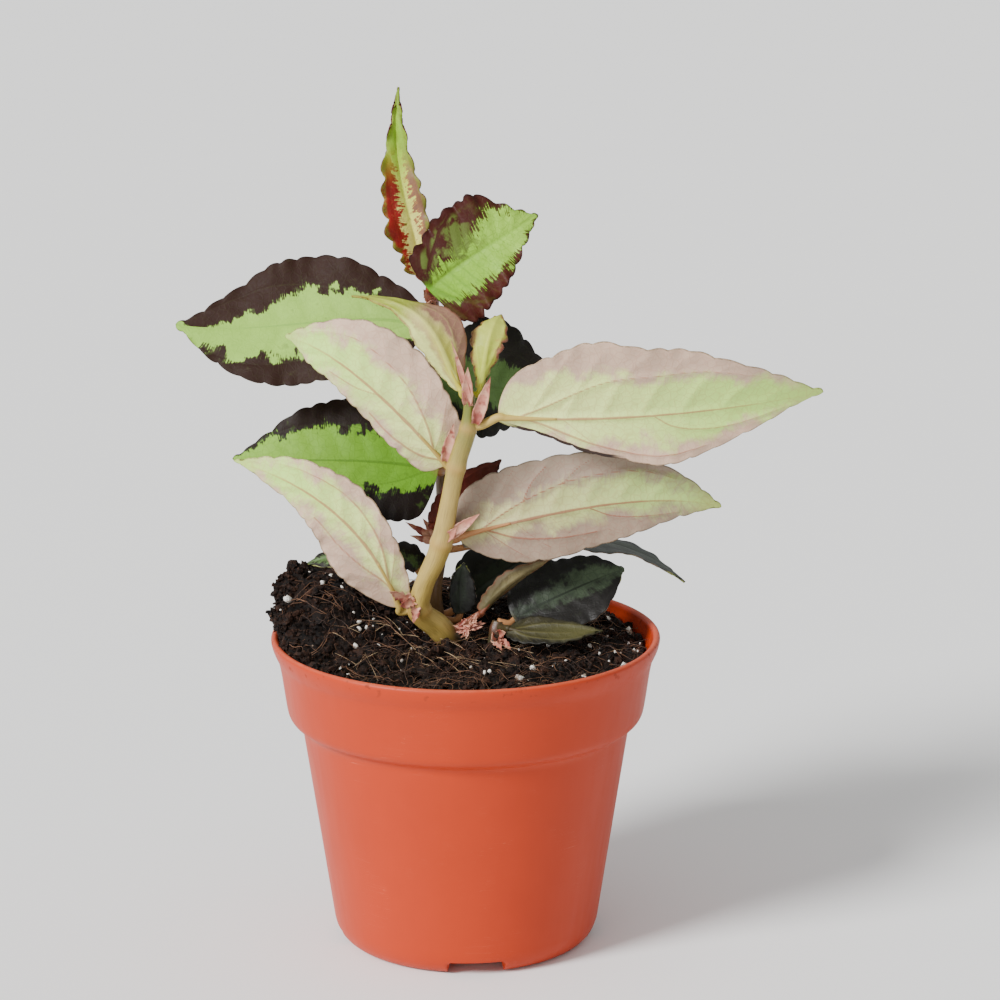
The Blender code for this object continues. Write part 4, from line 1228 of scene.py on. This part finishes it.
redEdged = leafFinish(
    "red-edged upper side",
    flanks=(hue(58, 21, 16), hue(66, 24, 18)), centre=(hue(122, 168, 44), hue(140, 180, 66)),
    rim=hue(62, 60, 24), rimWide=1.1, vein=hue(96, 138, 34), veinShow=(0.3, 0.8, 0.5), veinWide=1.9,
    webbed=-1, web=hue(40, 17, 13), islands=0.9, speckColour=hue(84, 100, 42),
    edge=hue(34, 13, 12), edgeWide=0.2, edgeShow=0.85, soft=0.4, cloud=1.5, patches=2.6,
    streaks=2.6, mottleAmount=0.2, stalk=hue(98, 156, 30), net=0.3, netSize=0.9, shine=0.14,
)
# the red of the first flank is the leaf's own; its brightness is painted light shining through the thin
# leaf
flameLook = leafFinish(
    "bright red flank with a cream centre",
    flanks=(hue(126, 20, 14), hue(120, 84, 64)), centre=(hue(208, 200, 112), hue(150, 178, 40)),
    rim=hue(150, 96, 60), rimWide=0.5, tip=hue(124, 160, 36), tipSpan=(0.56, 0.8),
    vein=hue(190, 190, 90), veinShow=(0.3, 0.2, 0.1), edge=hue(104, 116, 34), edgeWide=0.4,
    edgeShow=0.85, soft=0.3, cloud=1.1, patches=2.2, streaks=1.0, mottleAmount=0.3,
    stalk=hue(120, 48, 32), specks=0.9, speckColour=hue(86, 90, 28), net=0.1,
)
youngLeftUnder = leafFinish(
    "young yellow-green underside",
    flanks=(hue(136, 100, 82), hue(206, 212, 126)), centre=(hue(170, 170, 60), hue(190, 180, 118)),
    rim=hue(176, 150, 108), tip=hue(140, 152, 50), tipSpan=(0.62, 0.78), vein=hue(200, 200, 110),
    veinShow=(0.5, 0.3, 0.1), edge=hue(120, 74, 50), edgeWide=0.18, edgeShow=0.7, soft=1.4,
    cloud=3.0, patches=1.0, streaks=0.2, mottleAmount=0.1, flankVeins=0.6, stalk=hue(186, 176, 60),
)
youngRightUnder = leafFinish(
    "young right underside",
    flanks=(hue(138, 96, 74), hue(164, 132, 84)), centre=(hue(150, 160, 48), hue(170, 178, 76)),
    rim=hue(170, 160, 70), vein=hue(188, 194, 84), veinShow=(0.5, 0.3, 0.1), edge=hue(108, 52, 38),
    edgeWide=0.3, edgeShow=0.8, cloud=1.8, patches=1.6, streaks=0.3, mottleAmount=0.16,
    flankVeins=0.6, stalk=hue(164, 164, 50),
)
darkUpper = leafFinish(
    "very dark upper side",
    flanks=(hue(21, 20, 18), hue(24, 22, 20)), centre=(hue(46, 53, 43), hue(70, 83, 62)),
    rim=hue(34, 38, 30), vein=hue(22, 26, 20), veinShow=(0.7, 0.7, 0.6), edge=hue(14, 12, 10),
    soft=2.6, cloud=2.2, patches=3.6, streaks=0.7, mottleAmount=0.3, stalk=hue(66, 58, 32),
    specks=0.6, speckColour=hue(40, 46, 32), net=0.25,
)
plainDark = leafFinish(
    "plain dark grey-green upper side",
    flanks=(hue(24, 27, 23), hue(26, 26, 23)), centre=(hue(38, 46, 34), hue(42, 50, 38)),
    vein=hue(22, 26, 20), veinShow=(0.5, 0.5, 0.4), edge=hue(24, 16, 16), soft=1.2, cloud=2.0,
    patches=2.0, streaks=0.3, mottleAmount=0.22, stalk=hue(66, 58, 32), rough=0.48,
    specks=0.7, speckColour=hue(44, 52, 38),
)
tipGreen = leafFinish(
    "dark upper side with a dull green centre",
    flanks=(hue(26, 20, 18), hue(25, 21, 18)), centre=(hue(72, 96, 48), hue(76, 100, 54)),
    rim=hue(52, 62, 34), vein=hue(66, 88, 44), veinShow=(0.5, 0.4, 0.3), edge=hue(18, 14, 12),
    soft=0.3, cloud=1.8, patches=2.6, streaks=1.3, mottleAmount=0.18, stalk=hue(84, 76, 38), net=0.3,
)
maroonUnder = leafFinish(
    "maroon underside",
    flanks=(hue(86, 32, 28), hue(94, 38, 32)), centre=(hue(104, 46, 36), hue(88, 36, 30)),
    vein=hue(140, 66, 52), veinShow=(0.8, 0.6, 0.4), flankVeins=1.0, edge=hue(42, 16, 15),
    mottleAmount=0.2, stalk=hue(120, 50, 38),
)
oliveStrip = leafFinish(
    "beige-olive strip",
    flanks=(hue(116, 86, 60), hue(96, 84, 58)), centre=(hue(92, 86, 54), hue(120, 108, 72)),
    vein=hue(74, 64, 40), veinShow=(0.6, 0.3, 0.1), flankVeins=1.0, edge=hue(112, 56, 40),
    edgeWide=0.16, stalk=hue(112, 62, 42), rough=0.52,
)
# painted shade: the first flank, on the minus side, is near black for the shaded lower flank; the other
# flank and the centre are the olive underside
oliveUnderShadedFlank = leafFinish(
    "olive underside",
    flanks=(hue(20, 18, 12), hue(38, 35, 20)), centre=(hue(44, 41, 21), hue(66, 64, 33)),
    vein=hue(76, 72, 40), veinShow=(0.6, 0.7, 0.3), flankVeins=1.0, edge=hue(22, 19, 12), soft=1.2,
    cloud=3.0, patches=0.8, mottleAmount=0.16, stalk=hue(56, 47, 25), rough=0.52,
)
# painted sheen: the grey stands in for a grazing reflection of the pale surroundings on a dark upper side
sheenedGreyUpper = leafFinish(
    "grey-green upper side",
    flanks=(hue(76, 79, 78), hue(82, 85, 82)), centre=(hue(96, 100, 92), hue(84, 90, 84)),
    vein=hue(54, 57, 54), veinShow=(0.6, 0.4, 0.2), edge=hue(26, 28, 26), soft=1.0, patches=1.6,
    streaks=0.5, mottleAmount=0.16, stalk=hue(80, 72, 52),
)


# Leaves: each has its own dictionary. rib holds four points of the midrib, face the way that the
# upper side looks at base and tip, plus and minus six half widths. nerves are (u, v) points of the
# main side veins. green is the share of the half width that the pale centre fills at base, middle
# and tip, on the plus and minus side. wave is its height and how many there are.

basalPair = (
    ((0.03, 0), (0.2, 0.3), (0.45, 0.55), (0.7, 0.68), (0.93, 0.8)),
    ((0.03, 0), (0.2, -0.3), (0.45, -0.55), (0.7, -0.68), (0.93, -0.8)),
)
plainLeaf = dict(nerves=basalPair, crinkle=0.12, branchStep=0.12, rolled=(), stout=1)


def growLeaf(name, changes, upper, under, slot):
    # the blade with its upper and lower finish, and the stalk in the lower one, as one mesh
    leaf = {**plainLeaf, **changes}
    top, low, marks = leafShape(leaf)
    bladePoints = np.concatenate([top.reshape(-1, 3), low.reshape(-1, 3)])
    faces = sheetFaces(*top.shape[:2])
    if not facesUp(top, leaf):
        faces = faces[:, ::-1]
    stalk = stalkShape(leaf)
    points, tables = joined([(bladePoints, [faces]), stalk])
    filled = dict(along=0.0, edgeGap=9.0, rib=9.0, nerve=9.0, branch=9.0, stalk=1.0)
    for label, values in marks.items():
        onStalk = np.full(len(stalk[0]), filled.get(label, 0.0))
        marks[label] = np.concatenate([np.tile(values.ravel(), 2), onStalk])
    size = len(bladePoints) // 2
    kind = np.concatenate([np.where(table.max(axis=1) < size, 0, 1) for table in tables])
    return settle(newPiece(name, points, tables, [upper, under], marks, kind), slot, name)


def facesUp(top, leaf):
    # whether the quad in the middle of the upper grid looks to the side that face gives
    rows, columns = top.shape[:2]
    row, column = divmod((rows - 1) * (columns - 1) // 2, columns - 1)
    a, b, c = top[row, column], top[row, column + 1], top[row + 1, column + 1]
    return np.cross(b - a, c - a) @ np.array(leaf["face"][0], float) > 0


print("leaves")

frontRightUpper = dict(
    stem="front", stalk=(2.4, -9.2, 84.0),
    rib=((5, -9.5, 85.5), (20, -10.5, 85.5), (36.5, -9.5, 86.5), (54, -4, 88)),
    face=((0, 0.97, 0.25), (0, 0.9, 0.35)),
    plus=(5.9, 10.8, 13.5, 12.3, 10.2, 5.8), minus=(1.2, 3.2, 6.3, 8.3, 7.2, 3.4),
    fold=-0.1, teeth=14, bite=0.3, wave=(0.5, 3.5), green=((0.75, 0.5, 0.85), (0.9, 0.55, 0.7)),
    nerves=(
        ((0.06, 0), (0.12, 0.12), (0.25, 0.34), (0.42, 0.53), (0.56, 0.62), (0.75, 0.76), (0.86, 0.82)),
        ((0.5, 0), (0.56, -0.25), (0.66, -0.42), (0.8, -0.55), (0.92, -0.6)),
        ((0.08, 0), (0.2, -0.5), (0.35, -0.75), (0.5, -0.8), (0.66, -0.82)),
    ),
    rolled=((0.02, 0.42, -1, 0.55),), quilt=0.2, stout=1.05,
)
growLeaf("leaf_front_right_upper", frontRightUpper, greenCentred, paleUnder, "leaf_underside_pale")

frontRightLower = dict(
    stem="front", stalk=(-1.4, -5.0, 65.2),
    rib=((-0.9, -4.6, 65.5), (12.5, -5, 69), (26.5, -4.5, 71), (39, -2, 69.5)),
    face=((0, 1, -0.15), (0, 1, 0)),
    plus=(5.6, 8.1, 8.6, 8.5, 7.1, 3.9), minus=(2, 6, 6.9, 6.3, 4.8, 2.7),
    fold=0.03, teeth=13, bite=0.3, wave=(0.5, 3), green=((0.34, 0.42, 0.72), (0.2, 0.22, 0.45)),
    nerves=(
        ((0.08, 0), (0.18, 0.2), (0.3, 0.38), (0.42, 0.5), (0.6, 0.62), (0.8, 0.72)),
        ((0.1, 0), (0.2, -0.35), (0.35, -0.55), (0.5, -0.62)),
        ((0.48, 0), (0.56, -0.3), (0.68, -0.5), (0.82, -0.6)),
        ((0.26, 0.33), (0.3, 0.6), (0.36, 0.85)), ((0.4, 0.48), (0.46, 0.7), (0.52, 0.88)),
    ),
    quilt=0.24,
)
growLeaf("leaf_front_right_lower", frontRightLower, greenCentred, shadedLilacUnder, "leaf_underside_pale")

frontLeftUpper = dict(
    stem="front", stalk=(-2.3, -5.4, 76.4),
    rib=((-2.8, -5, 77), (-10, -7.5, 85.5), (-18.5, -7, 93), (-27, -2, 96)),
    face=((0, 1, 0.2), (0, 1, 0.2)),
    plus=(4, 4.4, 4.7, 4.1, 3.6, 3), minus=(5.6, 6.6, 8.6, 9.2, 8.1, 4),
    fold=0.03, teeth=12, bite=0.3, wave=(0.4, 3), green=((0.75, 0.7, 0.8), (0.38, 0.4, 0.7)),
    nerves=(
        ((0.1, 0), (0.2, -0.25), (0.35, -0.42), (0.5, -0.5), (0.7, -0.58), (0.86, -0.6)),
        ((0.03, 0), (0.12, 0.5), (0.25, 0.7), (0.42, 0.72)),
        ((0.45, 0), (0.55, 0.4), (0.7, 0.6)),
    ),
    quilt=0.2, stout=0.95,
)
growLeaf("leaf_front_left_upper", frontLeftUpper, greenCentred, paleUnder, "leaf_underside_pale")

frontLeftLower = dict(
    stem="front", stalk=(-9.9, -3.5, 53.2),
    rib=((-10.1, -3.7, 54.2), (-16, -7, 66), (-24.5, -7, 73.5), (-35, -3, 77)),
    face=((0, 1, 0.2), (0, 1, 0.2)),
    plus=(2.3, 5.9, 6.4, 4.8, 3.5, 2), minus=(2.2, 3.7, 5.1, 5.6, 4.9, 2.8),
    fold=0.03, teeth=13, bite=0.25, wave=(0.4, 3), green=((0.15, 0.4, 0.85), (0.35, 0.6, 0.9)),
    nerves=(
        ((0.1, 0), (0.25, -0.42), (0.42, -0.55), (0.6, -0.6), (0.8, -0.62)),
        ((0.08, 0), (0.2, 0.35), (0.38, 0.55), (0.55, 0.6)),
    ),
    quilt=0.2, stout=0.9,
)
growLeaf("leaf_front_left_lower", frontLeftLower, greenCentred, paleUnder, "leaf_underside_pale")

backLeftUpper = dict(
    stem="back", stalk=(-5.5, 4.3, 96.6),
    rib=((-6.2, 3, 96.5), (-18.5, 5, 97), (-31, 7, 95.5), (-44.5, 9, 95.5)),
    face=((0, -0.85, 0.5), (0, -0.85, 0.5)),
    plus=(2.9, 6.7, 9.9, 10.5, 8.9, 4.9), minus=(5, 8.8, 9.7, 10, 9.5, 6),
    fold=0.1, teeth=13, bite=0.35, wave=(0.5, 3.5), green=((0.42, 0.5, -0.05), (0.46, 0.5, 0.72)),
    quilt=0.14,
)
growLeaf("leaf_back_left_upper", backLeftUpper, greenCentred, shadedLilacUnder, "leaf_green_centred")

backLeftMiddle = dict(
    stem="back", stalk=(-3.9, 5.6, 73),
    rib=((-4.2, 4, 73.5), (-14.5, 4, 75), (-25.5, 5, 75), (-36, 8, 74.5)),
    face=((0, -0.85, 0.5), (0, -0.85, 0.5)),
    plus=(5, 8.5, 9.8, 9.8, 8, 4.5), minus=(7.5, 9.4, 8.6, 6.6, 4.5, 2.4),
    fold=0.1, teeth=12, bite=0.35, wave=(0.5, 3), green=((0.4, 0.5, 0.85), (0.35, 0.6, 0.9)),
    quilt=0.16,
)
growLeaf("leaf_back_left_middle", backLeftMiddle, vividCentred, shadedLilacUnder, "leaf_green_centred")

topRight = dict(
    stem="back", stalk=(-4.9, 3.6, 101.6),
    rib=((-5.5, 1.5, 102.5), (0, 1, 107), (5.5, 1.5, 110.5), (11, 4, 113.5)),
    face=((0, -0.95, 0.2), (0, -0.9, 0.4)),
    plus=(6.9, 8.7, 7.9, 7, 4.9, 2.4), minus=(5.7, 6.6, 8.1, 8.2, 7.8, 3.8),
    fold=0.1, teeth=10, bite=0.6, wave=(0.6, 4), green=((0.42, 0.64, 0.95), (0.14, 0.34, 0.98)),
    nerves=(
        ((0.02, 0), (0.12, -0.45), (0.28, -0.7), (0.42, -0.85)),
        ((0.02, 0), (0.1, 0.4), (0.25, 0.75), (0.36, 0.95)),
        ((0.02, 0), (0.04, -0.5), (0.13, -0.92)), ((0.02, 0), (0.03, -0.6), (0.05, -0.95)),
        ((0.14, -0.48), (0.17, -0.7), (0.25, -0.95)), ((0.02, 0), (0.02, 0.5), (0.08, 0.9)),
    ),
    quilt=0.24, crinkle=0.35, branchStep=0.09,
)
growLeaf("leaf_top_right", topRight, redEdged, maroonUnder, "leaf_red_edged")

topUpright = dict(
    stem="back", stalk=(-5.6, 5.2, 103.2),
    rib=((-7, 5, 104), (-8, 5.5, 111.5), (-10, 6, 121), (-10, 7, 132.5)),
    face=((0, -1, 0.1), (0, -1, 0.1)),
    plus=(2.2, 2.2, 2.7, 3.1, 2.3, 1.5), minus=(2.3, 2.9, 4.2, 3.6, 2.7, 1),
    fold=0.6, teeth=9, bite=0.75, wave=(0.5, 4), green=((0.5, 0.3, 0.5), (0.55, 0.25, 0.4)),
    quilt=0.2, crinkle=0.45,
)
growLeaf("leaf_top_upright", topUpright, flameLook, maroonUnder, "leaf_red_edged")

youngLeft = dict(
    stem="front", stalk=(-0.2, -9.7, 88.7),
    rib=((-0.5, -10, 89.7), (-3.2, -12, 96), (-7.2, -12, 101.5), (-16.8, -6, 103)),
    face=((0, 1, 0.1), (0, 0.3, -0.9)),
    plus=(1, 2, 2.8, 3, 2.2, 1.2), minus=(0.9, 2.4, 4.2, 4.8, 3.4, 1.8),
    fold=0.35, teeth=7, bite=0.2, wave=(0.2, 2), green=((0.3, 0.25, 0.5), (0.5, 0.3, 0.3)),
    quilt=0.1, stout=0.8,
)
growLeaf("leaf_young_left", youngLeft, greenCentred, youngLeftUnder, "leaf_young")

youngRight = dict(
    stem="front", stalk=(1.8, -9.2, 88.7),
    rib=((2.3, -9, 89.6), (3, -9.8, 94), (3.9, -9, 98), (5.5, -4.5, 99.8)),
    face=((0, 1, 0), (0, 0.3, -0.9)),
    plus=(0.7, 1.3, 2.2, 2.8, 3, 2), minus=(0.7, 1, 1.8, 2.4, 2.6, 2),
    fold=0.3, teeth=6, bite=0.5, wave=(0.3, 2), green=((0.8, 0.55, 0.75), (0.8, 0.55, 0.75)),
    quilt=0.1, stout=0.7, crinkle=0.3,
)
growLeaf("leaf_young_right", youngRight, greenCentred, youngRightUnder, "leaf_young")

backRight = dict(
    stem="back", stalk=(-4.2, 5.7, 85.7),
    rib=((-3.9, 3, 86.5), (3, 3, 87), (10, 4, 86), (18, 6, 83.5)),
    face=((0, -1, 0.1), (0, -1, 0.3)),
    plus=(4, 6.5, 7.8, 6.6, 5, 2.6), minus=(4, 8.5, 11, 9.5, 6, 3),
    fold=0.1, teeth=10, bite=0.5, wave=(0.5, 3), green=((0.45, 0.35, 0.4), (0.5, 0.35, 0.4)),
    quilt=0.22,
)
growLeaf("leaf_back_right", backRight, tipGreen, shadedLilacUnder, "leaf_dark")

backMaroon = dict(
    stem="back", stalk=(-4.5, 4.7, 65),
    rib=((-5.5, 3.5, 65), (-2, 4.5, 67.5), (1.5, 4.5, 71), (5.5, 5.5, 75)),
    face=((0, 1, 0.1), (0, 1, 0.1)),
    plus=(1.6, 2.8, 3.6, 3.8, 3.4, 2.2), minus=(1.4, 2.4, 2.8, 3, 2.6, 1.6),
    fold=-0.2, teeth=7, bite=0.3, wave=(0.3, 2), green=((0.4, 0.4, 0.4), (0.4, 0.4, 0.4)),
    quilt=0.15, stout=0.8,
)
growLeaf("leaf_back_maroon", backMaroon, darkUpper, maroonUnder, "leaf_maroon")

lowStrip = dict(
    stem="front", stalk=(1.9, -1.0, 51.9),
    rib=((2.4, -1, 52.6), (5, -1.5, 55.5), (8.3, -1.5, 58.2), (13, -1, 61)),
    face=((-0.2, 0.8, 0.4), (-0.2, 0.8, 0.4)),
    plus=(0.8, 1.3, 1.6, 1.7, 1.5, 1), minus=(0.8, 1.3, 1.6, 1.7, 1.5, 1),
    fold=0.6, teeth=7, bite=0.15, wave=(0.15, 2), green=((0.5, 0.5, 0.5), (0.5, 0.5, 0.5)),
    quilt=0.05, stout=0.8,
)
growLeaf("leaf_low_strip", lowStrip, darkUpper, oliveStrip, "leaf_olive")

lowDark = dict(
    stem="low", stalk=(6.7, -2.0, 50.8),
    rib=((7.4, -1.2, 51.4), (12, 0, 53.5), (18.5, 2, 56), (24.5, 4, 58)),
    face=((0, -0.7, 0.7), (0, -0.7, 0.7)),
    plus=(2, 3.8, 5.4, 6.3, 6.2, 3.5), minus=(2.4, 5.2, 6.8, 6.1, 5.2, 3.6),
    fold=0.1, teeth=10, bite=0.3, wave=(0.3, 3), green=((0.1, 0.15, 0.4), (0.05, 0.3, 0.6)),
    quilt=0.2, stout=0.9,
)
growLeaf("leaf_low_dark", lowDark, darkUpper, shadedLilacUnder, "leaf_dark")

lowOlive = dict(
    stem="low", stalk=(5.9, -4.2, 50.7),
    rib=((6.6, -5.2, 50.7), (10.5, -7, 50.8), (15.5, -8, 51), (21, -8, 51.5)),
    face=((0, 0.6, -0.8), (0, 0.6, -0.8)),
    plus=(1.5, 2.6, 3.0, 2.9, 2.3, 1.4), minus=(1.3, 2.1, 2.4, 2.3, 1.8, 1.0),
    fold=-0.15, teeth=8, bite=0.2, wave=(0.2, 2), green=((0.6, 0.6, 0.9), (0.6, 0.6, 0.9)),
    quilt=0.08, stout=0.9,
)
growLeaf("leaf_low_olive", lowOlive, darkUpper, oliveUnderShadedFlank, "leaf_olive")

lowTrailing = dict(
    stem="back", stalk=(-2.4, 6.2, 60.5),
    rib=((-0.5, 6.8, 61), (13, 11, 61), (24.5, 15, 58.5), (34.5, 15.5, 52.5)),
    face=((0, -0.3, 0.95), (0.3, -0.2, 0.95)),
    plus=(1.5, 3, 4.2, 4.2, 3.2, 1.8), minus=(1.5, 3, 3.5, 3, 2.2, 1.2),
    fold=0.1, teeth=10, bite=0.3, wave=(0.3, 3), green=((0.4, 0.4, 0.5), (0.4, 0.4, 0.5)),
    quilt=0.15, stout=0.9,
)
growLeaf("leaf_low_trailing", lowTrailing, sheenedGreyUpper, shadedLilacUnder, "leaf_grey")

lowSmall = dict(
    stem="back", stalk=(-1.6, 3.4, 49.8),
    rib=((-0.8, 3, 51), (-0.9, 3.5, 53.6), (-0.7, 4, 56.2), (-0.3, 4.5, 58.8)),
    face=((0, -0.9, 0.4), (0, -0.9, 0.4)),
    plus=(1.5, 2.4, 2.6, 2.4, 2, 1.2), minus=(1, 1.5, 1.7, 1.7, 1.5, 1),
    fold=0.2, teeth=6, bite=0.2, wave=(0.1, 2), green=((0.3, 0.4, 0.4), (0.3, 0.4, 0.4)),
    quilt=0.12, stout=0.8,
)
growLeaf("leaf_low_small", lowSmall, plainDark, shadedLilacUnder, "leaf_dark")

lowBack = dict(
    stem="back", stalk=(-2.6, 6.2, 50.2),
    rib=((-1.2, 7.5, 51), (3.5, 11, 54), (9, 14.5, 56.5), (15, 17.5, 58)),
    face=((0.1, -0.8, 0.6), (0.1, -0.8, 0.6)),
    plus=(1.8, 3.2, 3.8, 3.8, 3.2, 1.8), minus=(2.2, 4.6, 5.8, 5.6, 4.4, 2.4),
    fold=0.1, teeth=9, bite=0.3, wave=(0.3, 2.5), green=((0.3, 0.3, 0.4), (0.3, 0.3, 0.4)),
    quilt=0.2, stout=0.9,
)
growLeaf("leaf_low_back", lowBack, plainDark, shadedLilacUnder, "leaf_dark")

lowLeft = dict(
    stem="back", stalk=(-7.0, 5.2, 57),
    rib=((-7.4, 5, 57.8), (-11, 4, 60), (-18, 4, 60), (-24.5, 5, 58.5)),
    face=((0, -0.6, 0.8), (0, -0.6, 0.8)),
    plus=(2, 3, 3, 2.8, 2.4, 1.8), minus=(1.4, 2.4, 2.8, 2.8, 2.6, 1.8),
    fold=0.1, teeth=8, bite=0.3, wave=(0.3, 2), green=((0.2, 0.2, 0.35), (0.2, 0.2, 0.35)),
    quilt=0.15, stout=0.9,
)
growLeaf("leaf_low_left", lowLeft, tipGreen, shadedLilacUnder, "leaf_dark")
